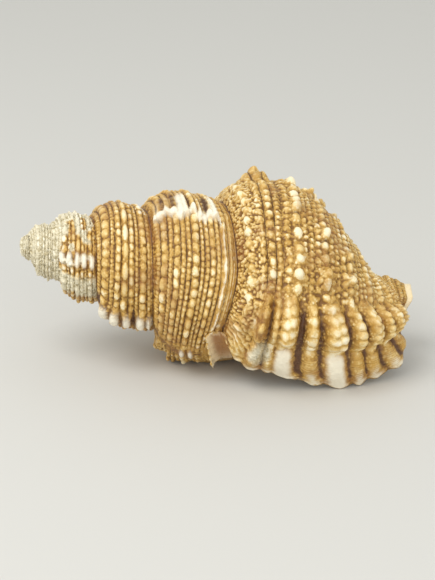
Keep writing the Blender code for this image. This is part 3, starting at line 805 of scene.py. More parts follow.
def old_lip(k, v):
    """Old lip edge on the whorl before: height in mm, paleness, darkness with painted shadow under its
    ledge, and gold.
    """
    turn, rise, reach, bend_from, bend_to, bend = OLD_EDGE
    bent = smooth(bend_from, bend_to, v)
    edge = turn + bend * bent
    for swing, waves in OLD_WAVES:
        edge = edge + swing * np.sin(v * waves)
    whorl = (v < 1) * smooth(0.02, 0.08, v) * smooth(1.0, 0.985, v)
    rib, white = np.zeros((2, len(k)))
    for at, half, share in OLD_RIBS:
        strip = ridge(v - at, half, 3)
        lift(rib, strip)
        lift(white, strip * share)
    behind = (k <= edge) * whorl
    near = np.exp(np.minimum(k - edge, 0) / reach) * behind
    past = ridge(np.maximum(k - edge, 0), 0.004) * (k > edge) * whorl
    band = bent * smooth(*OLD_BAND_TURNS, k) * behind * smooth(0, 0.03, edge - k)
    height = rise * (0.45 + 0.55 * rib) * (near + past) * (1 - bent * (k > turn))
    flute = 0.5 + 0.5 * np.cos(2 * math.pi * v * OLD_FLUTES + 2 * pattern("flutes", k, v))
    height += band * (0.8 + 0.55 * flute)
    rim_at, rim_half, rim_rise = OLD_RIM
    rim = ridge(v - rim_at + 0.008 * np.sin(k * 60), rim_half)
    rim = rim * smooth(turn - 0.01, turn + 0.02, k) * smooth(turn + bend + 0.01, turn + bend - 0.02, k)
    height += rim_rise * rim
    ribbed = smooth(*OLD_RIBS_END, edge - k) * behind * (1 - band)
    line = whorl * ridge(k - edge + 0.005, 0.013) * (v < bend_to)
    pale = np.maximum.reduce((ribbed * white, 0.95 * line, 0.75 * rim, band * (0.10 + 0.32 * flute)))
    after = np.exp(-np.maximum(k - edge, 0) / reach) * (k > edge) * whorl * (v < bend_to)
    beside = smooth(*OLD_GOLD_ACROSS, v) * smooth(turn - 0.02, turn + 0.03, k)
    beside = beside * smooth(*OLD_GOLD_END, k) * (v < 1)
    gold = np.maximum.reduce((0.95 * ribbed * rib, band * (0.35 + 0.6 * flute), 0.5 * after, 0.5 * beside))
    dark = ribbed * (1 - rib) * smooth(0.010, 0.022, edge - k)
    # Painted shadow: a dark line at the foot of the old edge's ledge, in front of it
    lift(dark, 0.6 * whorl * ridge(k - edge - 0.014, 0.006) * (1 - band))
    return height, pale, dark, gold


class Relief:
    """Height over the smooth skin in mm, and the masks that the colours follow, at each point."""

    def __init__(self, k, v):
        self.k, self.v = k, v
        self.pale, self.dark, self.groove = np.zeros((3, len(k)))
        self.size = LEAST_RELIEF + (1 - LEAST_RELIEF) * across_scale(k)
        self.on_spire = 1 - smooth(*BODY_CORD_TURNS, k)
        self.lumpy = smooth(*LUMPY_FROM, v)
        self.on_base = smooth(*BASE_ACROSS, v)
        self.grain = granules(k, v)
        lines = travel(k) * 2 * math.pi / GROWTH_SPACING
        self.growth = 0.5 + 0.5 * np.sin(lines + 3 * pattern("growth", k, v))
        self.lip = Lip(k, v)
        # Each step reads what the steps before it made
        self.add_beads(*self.varices())
        self.cut_grooves()
        self.add_old_lip()
        self.add_knobs()
        self.add_lip()
        self.add_arcs()
        self.whiten_lip()
        self.darken_creases()
        self.wear()

    def varices(self):
        """Height of the varices in mm, and how far they cover the beads."""
        k, v = self.k, self.v
        on_varix, height = np.zeros((2, len(k)))
        for turn, behind, ahead, rise, white, shadow, places, half in VARICES:
            knob = np.zeros(len(k))
            for at in places:
                lift(knob, ridge(v - at, half, KNOB_POWER))
            crest = swell(k, turn, behind, ahead) * (v < 1)
            height += rise * crest * (0.1 + 0.9 * knob)
            lift(on_varix, white * crest)
            patch = smooth(0.30, 0.55, pattern("varix_wear", k, v)) * (1 - shadow)
            patch = patch * (k < EARLY_CORD_TURNS[0])
            lift(self.pale, white * crest * np.maximum(knob, 1.8 * patch))
            around = swell(k, turn - 0.2 * behind, 1.4 * behind, ahead) * (v < 1)
            lift(self.dark, shadow * around * (1 - knob))
        return height, on_varix

    def add_beads(self, varix, on_varix):
        """Beads and grains, fainter on the varices, the lip's lumps and its flange."""
        k, v, lip = self.k, self.v, self.lip
        bead, tint, crown = beads(k, v)
        self.plain = plain = 1 - 0.85 * on_varix
        plain_zone = smooth(*PLAIN_ZONE, v) * (1 - self.on_spire)
        beaded = (1 - 0.45 * lip.start * self.lumpy) * (1 - 0.75 * lip.flange) * plain
        shading = 0.70 + 0.52 * soft_noise(travel(k) / 9, v * 7, 12.0)
        crown = crown * shading * (1 - SPIRE_DIM * self.on_spire)
        self.tint = tint * (1 - SPIRE_TINT * self.on_spire)
        self.height = self.size * bead * beaded + varix
        cover = (0.45 + 0.9 * plain_zone) * (1 - crown) * (1 - 0.8 * lip.flange) * plain
        self.height += GRAIN_RISE * self.size * self.grain * cover
        self.crown = np.maximum(crown, (0.42 + 0.5 * plain_zone) * self.grain ** CROWN_POWER) * plain

    def cut_grooves(self):
        """Spiral grooves of the body whorl, and the cut lines between the spire's cords."""
        k, v = self.k, self.v
        for at, half, depth in GROOVES:
            line = ridge(v - at, half) * (0.35 + 0.65 * soft_noise(k * 60, np.full(len(k), at * 50), 2))
            line = line * (1 - self.on_spire) * (1 - self.lip.start)
            lift(self.groove, line * depth / DARKEST_GROOVE)
            self.height -= depth * self.size * line
        old = 1 - smooth(*EARLY_CORD_TURNS, k)
        line = (1 - old) * between_cords(k, v, SPIRE_CORDS) + old * between_cords(k, v, EARLY_CORDS)
        line = line * self.on_spire * (v < 1) * self.plain
        lift(self.groove, 1.25 * line)
        self.height -= SPIRE_GROOVE_DEPTH * self.size * line

    def add_old_lip(self):
        """Old lip edge, and the white spots on the spire's beads."""
        k, v = self.k, self.v
        height, pale, dark, gold = old_lip(k, v)
        lift(self.crown, gold * (0.75 + 0.25 * self.grain))
        self.height += height
        lift(self.pale, pale)
        lift(self.dark, dark)
        spots = smooth(0.60, 0.80, pattern("spots", k, v)) * smooth(0.55, 0.8, self.crown)
        lift(self.pale, 0.75 * spots * self.on_spire)

    def add_knobs(self):
        """Single knobs, some with a patch of painted shadow in front."""
        k, v = self.k, self.v
        radius = np.maximum(shoulder_radius(k), 1)
        for at, turn, rise, half, length, painted_shadow in KNOBS:
            along = (k - turn) * 2 * math.pi * radius / length
            over = (v - at) * STRIP_WIDTH / half
            bump = np.exp(-np.clip(along ** 2 + over ** 2, 0, 30) ** 1.1)
            self.height += rise * bump * (0.85 + 0.15 * self.crown)
            lift(self.crown, bump * (0.45 + 0.5 * self.grain))
            # Painted shadow in front of the knob
            under = np.exp(-np.clip((along - 1.25) ** 2 * 2.2 + over ** 2, 0, 30))
            lift(self.dark, 0.75 * painted_shadow * under * (1 - 0.6 * self.lip.start))

    def add_lip(self):
        """Ribs, lobes and flange of the lip, dark between the ribs."""
        k, v, lip, growth = self.k, self.v, self.lip, self.growth
        self.height += (lip.rise + GROWTH_RISE * growth * lip.flange * lip.rib) * lip.on * self.on_base
        rib_gap = lip.start * (1 - lip.rib) ** 1.7 * smooth(0.16, 0.27, v) * self.on_base
        self.dark = np.maximum(self.dark * (1 - lip.start), rib_gap * smooth(*RIB_GAP_TURNS, k))
        self.on_lip = lip.rib * self.on_base * lip.on
        lobed = lip.start * self.on_lip * self.lumpy * (0.50 + 0.50 * lip.lump) * (1 - lip.flange)
        self.crown = np.maximum(self.crown * (1 - 0.6 * lip.start * self.lumpy), lobed)
        lift(self.crown, lip.flange * self.on_lip * (0.45 + 0.35 * growth))
        lift(self.crown, lip.edge * self.on_lip * (0.75 + 0.2 * growth))

    def add_arcs(self):
        """Growth arcs on the shoulder behind the lip, round the notch."""
        k, v = self.k, self.v
        arcs_from, arcs_full, width, rise = LIP_ARCS
        zone = smooth(arcs_from, arcs_full, k) * self.lip.on * smooth(0.02, 0.06, v) * smooth(0.24, 0.17, v)
        turn, at, over = NOTCH
        off = np.hypot((k - turn) * 2 * math.pi * shoulder_radius(k), (v - at) * over)
        arc = 0.5 + 0.5 * np.sin(off * 2 * math.pi / width + 3 * pattern("arcs", k, v))
        self.height += rise * zone * arc
        self.crown = self.crown * (1 - 0.6 * zone) + 0.6 * zone * (0.1 + 0.95 * arc)

    def whiten_lip(self):
        """White and cream of the lip: its pale ribs, lumps, rim and flare."""
        k, v, lip = self.k, self.v, self.lip
        white = lip.pale ** 1.5 * smooth(*LIP_WHITE, k) * lip.on
        self.pale = np.maximum(self.pale * (1 - lip.start), white)
        lift(self.pale, 0.55 * lip.start * self.on_lip * lip.pale * lip.lump)
        rim = smooth(*LIP_RIM, k) * lip.on * self.on_base
        lift(self.pale, rim * smooth(0.1, 0.2, v) * (0.30 + 0.45 * lip.rib))
        flare = smooth(*LIP_CREAM, k) * self.on_lip * lip.rib * (0.6 + 0.4 * self.growth)
        lift(self.pale, 0.80 * flare * smooth(0.3, 0.5, v))
        self.dark = self.dark * (1 - 0.8 * rim)

    def darken_creases(self):
        """Dark creases of the base, between the lip and the canal."""
        k, v = self.k, self.v
        crease = pattern("crease", k, v) * smooth(1.12, 1.25, v) * smooth(1.9, 1.75, v)
        crease = CREASE_DARKNESS * smooth(*CREASE_SHARE, crease) * (1 - 0.7 * self.crown)
        start_at, start_full, end_full, end_at = CREASE_TURNS
        lift(self.dark, crease * smooth(start_at, start_full, k) * smooth(end_at, end_full, k))

    def wear(self):
        """Pits and chalky places of the old whorls and the scar, the edges of the strip, and painted shade
        along the suture.
        """
        k, v = self.k, self.v
        chalky = swell(k, *CHALKY) * (v < 1) * smooth(0.25, 0.6, pattern("blotch", k, v) + 0.3 * v)
        old_wear = smooth(*APEX_WEAR, k) - 0.45 * v + 0.9 * (pattern("apex_wear", k, v) - 0.5)
        worn = smooth(0.22, 0.75, old_wear + 0.6 * smooth(*TIP_WEAR, k)) * (v < 1)
        self.eroded = np.maximum(chalky, worn)
        lift(self.eroded, 1.2 * self.lip.scar * self.lip.on)
        rough = soft_noise(travel(k) / 3, v * 6, 4.0) + 0.7 * self.grain - 0.8
        self.height += PIT_DEPTH * self.eroded * self.size * rough
        glued = 1 - smooth(TURN_LIP - 1, TURN_LIP - 0.9, k)
        fade = smooth(0, 0.03, v) * smooth(2.0, 1.9, v) * (1 - glued * ridge(v - 1, 0.05))
        self.height *= fade
        # Painted shade along the groove of the suture
        suture = np.minimum(v, np.where(k < TURN_LIP - 1, 1 - v, 1))
        lift(self.dark, 0.9 * ridge(suture, SUTURE_LINE) * (1 - self.eroded))


def shell_point(k, v):
    """Points of the outside of the shell with their two sets of masks."""
    point = skin(k, v)
    place, width, height = point[:, 0], point[:, 1], point[:, 2]
    worn = 1 - smooth(*BASE_RELIEF, over_ground(place, width, height))
    worn *= smooth(*BASE_WIDTH, width) * smooth(*BASE_PLACE, place)
    on = Relief(k, v)
    rise = on.height * (1 - BASE_SMOOTHING * worn)
    cream = smooth(*CANAL_CREAM, v)
    masks = np.clip(np.stack((on.crown, on.pale, on.dark, on.groove), axis=1), 0, 1)
    masks[:, 0] = np.maximum(masks[:, 0], cream)
    marks = np.stack((on.tint, cream, on.eroded), axis=1)
    return point + rise[:, None] * skin_normal(k, v), masks, marks


def strip_patch(column, row):
    """The whole strip between its sutures. Its rows lie closest beside the upper one."""
    return shell_point(TURN_APEX + column / STEPS_PER_TURN, (row / ROWS_PER_WHORL) ** ROW_CROWDING)


def base_patch(column, row):
    """The last whorl in front of the suture line, down to the tip of the canal."""
    return shell_point(TURN_LIP - 1 + column / STEPS_PER_TURN, 1 + row / ROWS_PER_WHORL)


def hollow_rings():
    """All rings from the rim to the closed end of the hollow: turns inwards, reach, wall."""
    rings = [(inward, reach, LIP_WALL + extra) for inward, reach, extra in MOUTH_RINGS]
    for number in range(HOLLOW_RINGS):
        share = (number + 1) / HOLLOW_RINGS
        wall = LIP_WALL + (WALL - LIP_WALL) * min(1, share / FULL_WALL_AT)
        reach = DEEP_REACH + (HOLLOW_END - DEEP_REACH) * share
        rings.append((DEEP_START + (HOLLOW_TURNS - DEEP_START) * share, reach, wall))
    return rings


def section(turn, share, wall):
    """Hollow's section at a turn, share from the suture to the front: middle, direction, room."""
    outer = skin(turn, 2 * share)
    start = np.full(len(share), 1.0 + 1e-6)
    miss = skin(turn, 0 * share) - skin(turn - 1, start)
    inner = skin(turn - 1, 1 + share) + miss * ((1 - share) ** 2)[:, None]
    half = (outer - inner) / 2
    gap = np.linalg.norm(half, axis=1)
    return (outer + inner) / 2, half / np.maximum(gap, 1e-9)[:, None], gap - wall


def open_share(inward, wall):
    """Share of the section at which the whorls stand far enough apart for the hollow."""
    probe = np.linspace(0, 1, PROBES)
    room = section(np.full(PROBES, TURN_LIP - inward), probe, wall)[2]
    return probe[np.argmax(room > LEAST_ROOM)]


def rim_ring(on_outer, on_tip, share, tip_turn):
    """The free edge: along the lip, round the tip of the canal and back along the inner lip."""
    k = np.where(on_outer, TURN_LIP, TURN_LIP - 1)
    v = np.where(on_outer, 2 * share, 1 + share)
    return shell_point(np.where(on_tip, TURN_LIP - tip_turn, k), np.where(on_tip, 2.0, v))[0]


def hollow_ring(index, on_outer, on_tip, share, tip_turn):
    """One ring of the hollow. Past the last ring it is the single end point."""
    rings = hollow_rings()
    inward, reach, wall = rings[min(index, len(rings)) - 1]
    turn = np.full(len(share), TURN_LIP - inward)
    if index > len(rings):
        return section(turn, np.full(len(share), DEEPEST_AT), wall)[0]
    at_mouth = index <= len(MOUTH_RINGS)
    start = open_share(inward, wall)
    middle, across, room = section(turn, start + (reach - start) * share, wall)
    room = np.maximum(room, 0) * np.sqrt(np.clip(1 - (1 - share) ** INNER_ROUNDING, 0, 1))
    if not at_mouth:
        room = room * np.sqrt(np.clip(1 - share ** OUTER_ROUNDING, 0, 1))
    down = room + wall - CALLUS if at_mouth else room
    offset = np.where(on_outer, room, -down)
    ring = middle + across * offset[:, None]
    if not at_mouth:
        return np.where(on_tip[:, None], middle, ring)
    k = turn - tip_turn
    v = np.full(len(share), 2 * reach)
    return np.where(on_tip[:, None], skin(k, v) - wall * skin_normal(k, v), ring)


def hollow_patch(column, row):
    """Rim and hollow: row 0 is the free edge of the skin, the last row is one point."""
    outer_count = 2 * ROWS_PER_WHORL
    tip_count = outer_count + STEPS_PER_TURN
    column = column % LOOP
    points = np.zeros((len(column), 3))
    marks = np.zeros((len(column), 3))
    for index in range(len(hollow_rings()) + 2):
        chosen = row == index
        at = column[chosen]
        on_outer = at <= outer_count
        on_inner = at >= tip_count
        on_tip = ~on_outer & ~on_inner
        share = np.where(on_outer, at / outer_count, 1.0)
        share = np.where(share < 0.5, (2 * share) ** ROW_CROWDING / 2, share)
        share = np.where(on_inner, (LOOP - at) / ROWS_PER_WHORL, share)
        tip_turn = (at - outer_count) / STEPS_PER_TURN
        marks[chosen, 1] = 1 if index else 0.5
        if index == 0:
            points[chosen] = rim_ring(on_outer, on_tip, share, tip_turn)
        else:
            points[chosen] = hollow_ring(index, on_outer, on_tip, share, tip_turn)
    return points, np.tile((INSIDE_CROWN, 0.0, 0.0, 0.0), (len(column), 1)), marks


def trough_patch(column, row):
    """Half pipe behind the lip: the row runs along its inside and back along its outside."""
    along = (column / TROUGH_GRID[0])[:, None]
    round_way = row / TROUGH_GRID[1] * 2
    inside = round_way <= 1
    over = np.where(inside, 2 * round_way - 1, 3 - 2 * round_way)[:, None]
    depth, nicks_from, nicks = TROUGH_NICKS
    along = along * (1 - depth * (over < nicks_from) * (0.5 + 0.5 * np.sin(over * nicks)))
    left, floor, right = (
        (1 - along) * np.array(first) + along * np.array(last)
        for first, last in zip(TROUGH_START, TROUGH_FINISH)
    )
    side = np.where(over < 0, left, right) - floor
    jag = 1
    for share, waves, shift in TROUGH_JAGS:
        jag = jag + share * np.sin(along * waves + shift)
    side = side * np.where(over < 0, jag, 1)
    swing = np.abs(over) * math.pi / 2
    thick = TROUGH_WALL * np.sqrt(np.clip(1 - over[:, 0] ** 8, 0, 1))
    thick *= np.sqrt(np.clip(1 - (2 * along[:, 0] - 1) ** 12, 0, 1))
    place = floor[:, 0] + side[:, 0] * np.sin(swing)[:, 0]
    outwards = thick * TROUGH_SIDE_WALL * np.sign(side[:, 0]) * np.sin(swing)[:, 0]
    place += np.where(inside, 0, outwards)
    radius = floor[:, 1] + side[:, 1] * (1 - np.cos(swing))[:, 0]
    radius -= np.where(inside, 0, thick * np.cos(swing)[:, 0])
    angle = np.radians(floor[:, 2] + side[:, 2] * np.abs(over)[:, 0])
    points = np.stack((place, -radius * np.sin(angle), radius * np.cos(angle)), axis=1)
    zeros = np.zeros(len(column))
    # Painted shade inside the half pipe: darker from its left rim towards its floor and right side, less
    # towards its far end
    deep = smooth(-0.9, 0.0, over[:, 0]) * (1 - 0.45 * smooth(0.5, 1.0, along[:, 0]))
    masks = np.stack((INSIDE_CROWN * (1 - deep * inside), zeros + TROUGH_PALE, zeros, zeros), axis=1)
    marks = np.stack((zeros + 0.5, np.where(inside, 1.0, 0.0), zeros), axis=1)
    return points, masks, marks


def add_patch(mesh, layers, columns, rows, place):
    """Grid of columns by rows whose points are moved to place(column, row)."""
    made = bmesh.ops.create_grid(mesh, x_segments=columns, y_segments=rows, size=0.5)
    verts = made["verts"]
    at = np.array([vert.co[:2] for vert in verts]) + 0.5
    points, masks, marks = place(np.rint(at[:, 0] * columns), np.rint(at[:, 1] * rows))
    points = standing(points)
    points[:, 2] = np.maximum(points[:, 2], 0)
    for vert, point, mask, mark in zip(verts, points.tolist(), masks.tolist(), marks.tolist()):
        vert.co = point
        vert[layers[0]] = mask
        vert[layers[1]] = (*mark, 1)


def shell_mesh():
    """Skin, rim, hollow and trough as one mesh."""
    mesh = bmesh.new()
    layers = (
        mesh.verts.layers.float_color.new("masks"),
        mesh.verts.layers.float_color.new("marks"),
    )
    add_patch(mesh, layers, WHORLS * STEPS_PER_TURN, ROWS_PER_WHORL, strip_patch)
    add_patch(mesh, layers, STEPS_PER_TURN, ROWS_PER_WHORL, base_patch)
    add_patch(mesh, layers, LOOP, len(hollow_rings()) + 1, hollow_patch)
    add_patch(mesh, layers, *TROUGH_GRID, trough_patch)
    apex = standing(np.zeros((1, 3)))[0]
    places = np.array([vert.co[:] for vert in mesh.verts])
    close = np.linalg.norm(places - apex, axis=1) < APEX_CAP * MM
    tip = [vert for vert, chosen in zip(mesh.verts, close) if chosen]
    bmesh.ops.pointmerge(mesh, verts=tip, merge_co=Vector(apex))
    bmesh.ops.remove_doubles(mesh, verts=mesh.verts, dist=WELD)
    bmesh.ops.dissolve_degenerate(mesh, edges=mesh.edges, dist=WELD / 2)
    bmesh.ops.recalc_face_normals(mesh, faces=mesh.faces)
    return mesh


class Socket:
    """One output of a node, with arithmetic that adds Math nodes."""

    def __init__(self, tree, socket):
        self.tree = tree
        self.socket = socket

    def math(self, operation, *values):
        """A Math node on numbers and sockets."""
        made = self.tree.nodes.new("ShaderNodeMath")
        made.operation = operation
        for place, value in enumerate(values):
            connect(self.tree, made.inputs[place], value)
        return Socket(self.tree, made.outputs[0])

    def __add__(self, other):
        return self.math("ADD", self, other)

    __radd__ = __add__

    def __sub__(self, other):
        return self.math("SUBTRACT", self, other)

    def __rsub__(self, other):
        return self.math("SUBTRACT", other, self)

    def __mul__(self, other):
        return self.math("MULTIPLY", self, other)

    __rmul__ = __mul__

    def between(self, low, high):
        """0 at low, 1 at high, clamped."""
        made = self.tree.nodes.new("ShaderNodeMapRange")
        made.interpolation_type = "SMOOTHSTEP"
        connect(self.tree, made.inputs[0], self)
        made.inputs[1].default_value = low
        made.inputs[2].default_value = high
        return Socket(self.tree, made.outputs[0])


def connect(tree, socket, value):
    """Link a socket or set its constant."""
    if isinstance(value, Socket):
        tree.links.new(value.socket, socket)
    else:
        socket.default_value = value


class Finish:
    """A material under construction."""

    def __init__(self, name):
        self.material = bpy.data.materials.new(name)
        self.material.use_nodes = True
        self.tree = self.material.node_tree
        self.shader = self.tree.nodes["Principled BSDF"]

    def node(self, kind, settings=None, inputs=None, output=0):
        """Any node: its settings first, then its sockets, and the output that is wanted."""
        made = self.tree.nodes.new(kind)
        for name, value in (settings or {}).items():
            setattr(made, name, value)
        for name, value in (inputs or {}).items():
            connect(self.tree, made.inputs[name], value)
        return Socket(self.tree, made.outputs[output])

    def mix(self, share, first, second):
        """Mix two colours, each a socket or three numbers, at the node's sockets 6 and 7."""
        made = self.tree.nodes.new("ShaderNodeMix")
        made.data_type = "RGBA"
        connect(self.tree, made.inputs[0], share)
        for number, value in ((6, first), (7, second)):
            tone = value if isinstance(value, Socket) else (*value, 1)
            connect(self.tree, made.inputs[number], tone)
        return Socket(self.tree, made.outputs[2])

    def channels(self, name):
        """The four numbers of a colour attribute."""
        read = self.tree.nodes.new("ShaderNodeAttribute")
        read.attribute_name = name
        split = self.tree.nodes.new("ShaderNodeSeparateColor")
        self.tree.links.new(read.outputs["Color"], split.inputs[0])
        parts = [Socket(self.tree, split.outputs[number]) for number in range(3)]
        return (*parts, Socket(self.tree, read.outputs["Alpha"]))

    def grain(self, place, scale, detail=3.0):
        """Noise from 0 to 1 over the place."""
        sockets = {"Vector": place, "Scale": scale, "Detail": detail, "Roughness": 0.6}
        return self.node("ShaderNodeTexNoise", None, sockets)

    def place(self):
        """Place on the object."""
        return self.node("ShaderNodeTexCoord", None, None, "Object")

    def set(self, **sockets):
        """Link or set the shader's sockets."""
        for name, value in sockets.items():
            connect(self.tree, self.shader.inputs[name.replace("_", " ")], value)


def shell_finish(sizes):
    """Ochre shell with dark grooves, cream beads, white varices and a cream inside, and painted shade in
    the trough, along the suture, under the old lip's ledge and in front of knobs.
    """
    finish = Finish("beaded_shell")
    place = finish.place()
    crown, pale, dark, groove = finish.channels("masks")
    tint, inside, eroded, _ = finish.channels("marks")
    patches = finish.grain(place, PATCHES)
    mottle = finish.grain(place, MOTTLE)
    speck = finish.grain(place, SPECKS, 2.0)
    cells = finish.node("ShaderNodeTexVoronoi", {"feature": "F1"}, {"Vector": place, "Scale": CELLS})
    fine = (1 - cells.between(0.12, 0.62)) * (1 - crown) * (1 - pale * 0.6)
    level = crown + fine * 0.55 + (mottle - 0.5) * 0.5 + (patches - 0.5) * 0.3
    level = level + (speck - 0.5) * 0.35
    body = finish.mix(level.between(0.05, 0.5), sizes.valley, sizes.ochre)
    layers = (
        ((level + (tint - 0.5) * 0.35).between(0.40, 0.90), sizes.bead),
        ((level + (tint - 0.5) * 0.6 + (0.5 - patches) * 0.7).between(0.72, 1.12), sizes.cream),
        (patches.between(0.47, 0.66) * (1 - crown * 0.65) * 0.75, sizes.rust),
        ((groove * 0.95 + (speck - 0.5) * 0.5).between(0.35, 0.85) * 0.9, sizes.groove),
        ((pale + (mottle - 0.5) * 0.6).between(0.25, 0.9) * 0.9, sizes.white),
        # Purple brown over the dark mask: colour between ribs and in the base's creases, and painted shade
        # between the varices' knobs, under the old lip's ledge, in front of some knobs and along the suture
        ((dark + (mottle - 0.5) * 0.7 - crown * 0.25).between(0.35, 0.8) * 0.92, sizes.shade),
    )
    for share, tone in layers:
        body = finish.mix(share, body, tone)
    worn = mottle + (speck - 0.5) * 0.6 + (crown - 0.45) * 0.35
    chalk = finish.mix(worn.between(0.15, 0.70), sizes.stone, sizes.chalk)
    chalk = finish.mix((pale + (speck - 0.5) * 0.4).between(0.4, 0.8), chalk, sizes.white)
    wear = (eroded + (patches - 0.5) * 0.9 + (mottle - 0.5) * 0.5).between(0.25, 0.85)
    body = finish.mix(wear * (1 - dark * 0.5), body, chalk)
    within = finish.mix(mottle.between(0.3, 0.8), sizes.mouth, sizes.mouth_deep)
    # Painted shade in the trough, where its crown mask is lowered
    within = finish.mix(crown.between(0.0, 0.6), sizes.trough_painted_shade, within)
    colour = finish.mix(inside.between(0.3, 0.7), body, within)
    rough = 0.44 + (mottle - 0.5) * 0.3 + dark * 0.1 - inside * 0.14
    height = speck * 0.2 + mottle * (1 - inside) * 0.4 + fine * (1 - inside)
    sockets = {"Strength": 0.8, "Distance": BUMP_DEPTH, "Height": height}
    bump = finish.node("ShaderNodeBump", None, sockets, "Normal")
    finish.set(Base_Color=colour, Roughness=rough, Normal=bump, Specular_IOR_Level=0.4)
    return finish.material


def floor_finish(sizes):
    """Pale matt floor."""
    finish = Finish("pale_floor")
    finish.set(Base_Color=(*sizes.floor, 1), Roughness=0.7)
    return finish.material


def colour_property(name, description, default):
    """Property that holds a colour."""
    return FloatVectorProperty(name=name, description=description, subtype="COLOR", default=default)


def power_property(name, description, default):
    """Property that holds the power of a light."""
    return FloatProperty(name=name, description=description, unit="POWER", min=0, default=default)


class FrogShellSizes(bpy.types.PropertyGroup):
    """Colours and relief of the shell."""

    triangles: IntProperty(
        name="Triangles", description="Triangles that the shell is thinned to", default=TRIANGLES, min=5000
    )
    valley: colour_property("Valleys", "Colour between the beads", (0.20, 0.090, 0.015))
    ochre: colour_property("Ochre", "Colour of the whorls", (0.57, 0.33, 0.072))
    bead: colour_property("Beads", "Colour of the beads", (0.80, 0.58, 0.23))
    cream: colour_property("Cream beads", "Colour of the palest beads", (0.93, 0.82, 0.56))
    rust: colour_property("Rust", "Colour of the darker patches", (0.30, 0.125, 0.035))
    groove: colour_property("Grooves", "Colour of the spiral lines", (0.12, 0.052, 0.012))
    white: colour_property("White", "Colour of the varices", (0.93, 0.87, 0.71))
    chalk: colour_property("Chalk", "Colour of the worn apex", (0.80, 0.73, 0.54))
    stone: colour_property("Pits", "Colour of the pits in the worn apex", (0.42, 0.34, 0.17))
    # Purple brown is both the colour between the ribs and painted shade under the old ledge, beside knobs
    # and along the suture
    shade: colour_property("Purple brown", "Colour between the ribs", (0.10, 0.043, 0.022))
    mouth: colour_property("Mouth", "Colour of the inside near the lip", (0.88, 0.72, 0.44))
    # Colour of the painted shade deep in the trough
    trough_painted_shade: colour_property("Trough", "Colour deep in the trough", (0.33, 0.165, 0.060))
    mouth_deep: colour_property("Deep mouth", "Second colour of the inside", (0.86, 0.70, 0.46))


class FrogShellStage(bpy.types.PropertyGroup):
    """Floor and lights."""

    floor: colour_property("Floor", "Colour of the floor", (0.61, 0.60, 0.565))
    floor_size: FloatProperty(
        name="Floor size", description="Side of the floor", default=14.0, unit="LENGTH", min=0.5
    )
    key_power: power_property("Key light", "Power of the large soft light", 5.6)
    fill_power: power_property("Fill light", "Power of the fill light", 3.0)
    side_power: power_property("Side light", "Power of the low light beside the spire", 1.2)
    world: FloatProperty(
        name="Room light", description="Strength of the light from all round", default=0.84, min=0
    )


class FROGSHELL_OT_shell(bpy.types.Operator):
    """Build the shell with its beaded cords, varices, lip, hollow and trough"""

    bl_idname = "frogshell.shell"
    bl_label = "Frog shell"

    def execute(self, context):
        sizes = context.scene.frog_shell_sizes
        mesh = shell_mesh()
        total = sum(len(face.verts) - 2 for face in mesh.faces)
        data = bpy.data.meshes.new("frog_shell_skin")
        mesh.to_mesh(data)
        mesh.free()
        data.shade_smooth()
        data.materials.append(shell_finish(sizes))
        shell = bpy.data.objects.new("frog_shell_skin", data)
        context.scene.collection.objects.link(shell)
        thin = shell.modifiers.new("thin", "DECIMATE")
        thin.ratio = min(1.0, sizes.triangles / total)
        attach(shell, "root")
        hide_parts("frog_shell")
        return {"FINISHED"}


def add_light(scene, name, power, size, place, target):
    """Square area light at a place, turned to a target."""
    data = bpy.data.lights.new(name, "AREA")
    data.energy = power
    data.size = size
    light = bpy.data.objects.new(name, data)
    turn = (Vector(target) - Vector(place)).to_track_quat("-Z", "Y")
    light.matrix_world = Matrix.Translation(place) @ turn.to_matrix().to_4x4()
    scene.collection.objects.link(light)


def add_camera(scene):
    """Camera at the photograph's angle."""
    data = bpy.data.cameras.new("camera")
    data.sensor_fit = "VERTICAL"
    data.sensor_height = SENSOR
    data.lens = SENSOR * CAMERA_FOCAL / PICTURE_HEIGHT
    data.clip_end = 50
    camera = bpy.data.objects.new("camera", data)
    back = Vector(CAMERA_BACK).normalized()
    right = Vector(CAMERA_RIGHT).normalized()
    up = back.cross(right).normalized()
    turn = Matrix((right, up, back)).transposed().to_4x4()
    camera.matrix_world = Matrix.Translation(Vector(CAMERA_TARGET) + back * CAMERA_DISTANCE) @ turn
    scene.collection.objects.link(camera)
    scene.camera = camera


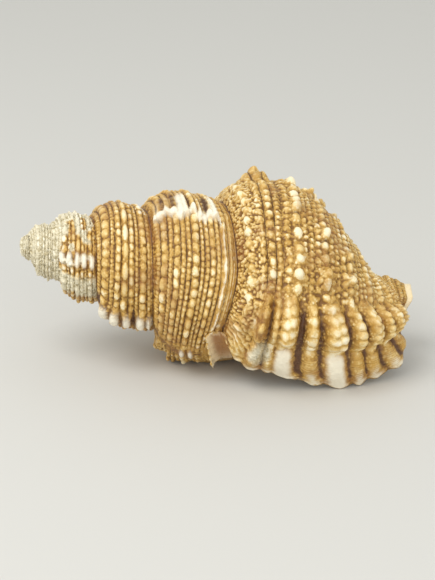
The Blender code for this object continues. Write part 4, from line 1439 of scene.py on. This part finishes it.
class FROGSHELL_OT_stage(bpy.types.Operator):
    """Build the pale floor, the soft lights and the camera at the photograph's angle"""

    bl_idname = "frogshell.stage"
    bl_label = "Stage"

    def execute(self, context):
        scene = context.scene
        stage = scene.frog_shell_stage
        mesh = bmesh.new()
        bmesh.ops.create_grid(mesh, x_segments=4, y_segments=4, size=stage.floor_size / 2)
        data = bpy.data.meshes.new("floor")
        mesh.to_mesh(data)
        mesh.free()
        data.materials.append(floor_finish(stage))
        floor = bpy.data.objects.new("floor", data)
        scene.collection.objects.link(floor)
        add_light(scene, "key_light", stage.key_power, *KEY_LIGHT)
        add_light(scene, "fill_light", stage.fill_power, *FILL_LIGHT)
        add_light(scene, "side_light", stage.side_power, *SIDE_LIGHT)
        world = bpy.data.worlds.new("room")
        world.use_nodes = True
        background = world.node_tree.nodes["Background"]
        background.inputs["Color"].default_value = ROOM_COLOUR
        background.inputs["Strength"].default_value = stage.world
        scene.world = world
        scene.view_settings.view_transform = "Standard"
        add_camera(scene)
        return {"FINISHED"}


class FROGSHELL_PT_panel(bpy.types.Panel):
    """Sidebar panel with the shell and the stage"""

    bl_idname = "FROGSHELL_PT_panel"
    bl_label = "Frog shell"
    bl_space_type = "VIEW_3D"
    bl_region_type = "UI"
    bl_category = "Frog shell"

    def draw(self, context):
        layout = self.layout
        groups = (
            (FROGSHELL_OT_shell, context.scene.frog_shell_sizes),
            (FROGSHELL_OT_stage, context.scene.frog_shell_stage),
        )
        for operator, group in groups:
            layout.operator(operator.bl_idname)
            for name in group.__annotations__:
                layout.prop(group, name)


CLASSES = (
    FrogShellSizes,
    FrogShellStage,
    FROGSHELL_OT_shell,
    FROGSHELL_OT_stage,
    FROGSHELL_PT_panel,
)


def register():
    for item in CLASSES:
        bpy.utils.register_class(item)
    bpy.types.Scene.frog_shell_sizes = PointerProperty(type=FrogShellSizes)
    bpy.types.Scene.frog_shell_stage = PointerProperty(type=FrogShellStage)


def unregister():
    del bpy.types.Scene.frog_shell_stage
    del bpy.types.Scene.frog_shell_sizes
    for item in reversed(CLASSES):
        bpy.utils.unregister_class(item)


def main():
    register()
    bpy.ops.frogshell.shell()
    bpy.ops.frogshell.stage()


if __name__ == "__main__":
    main()
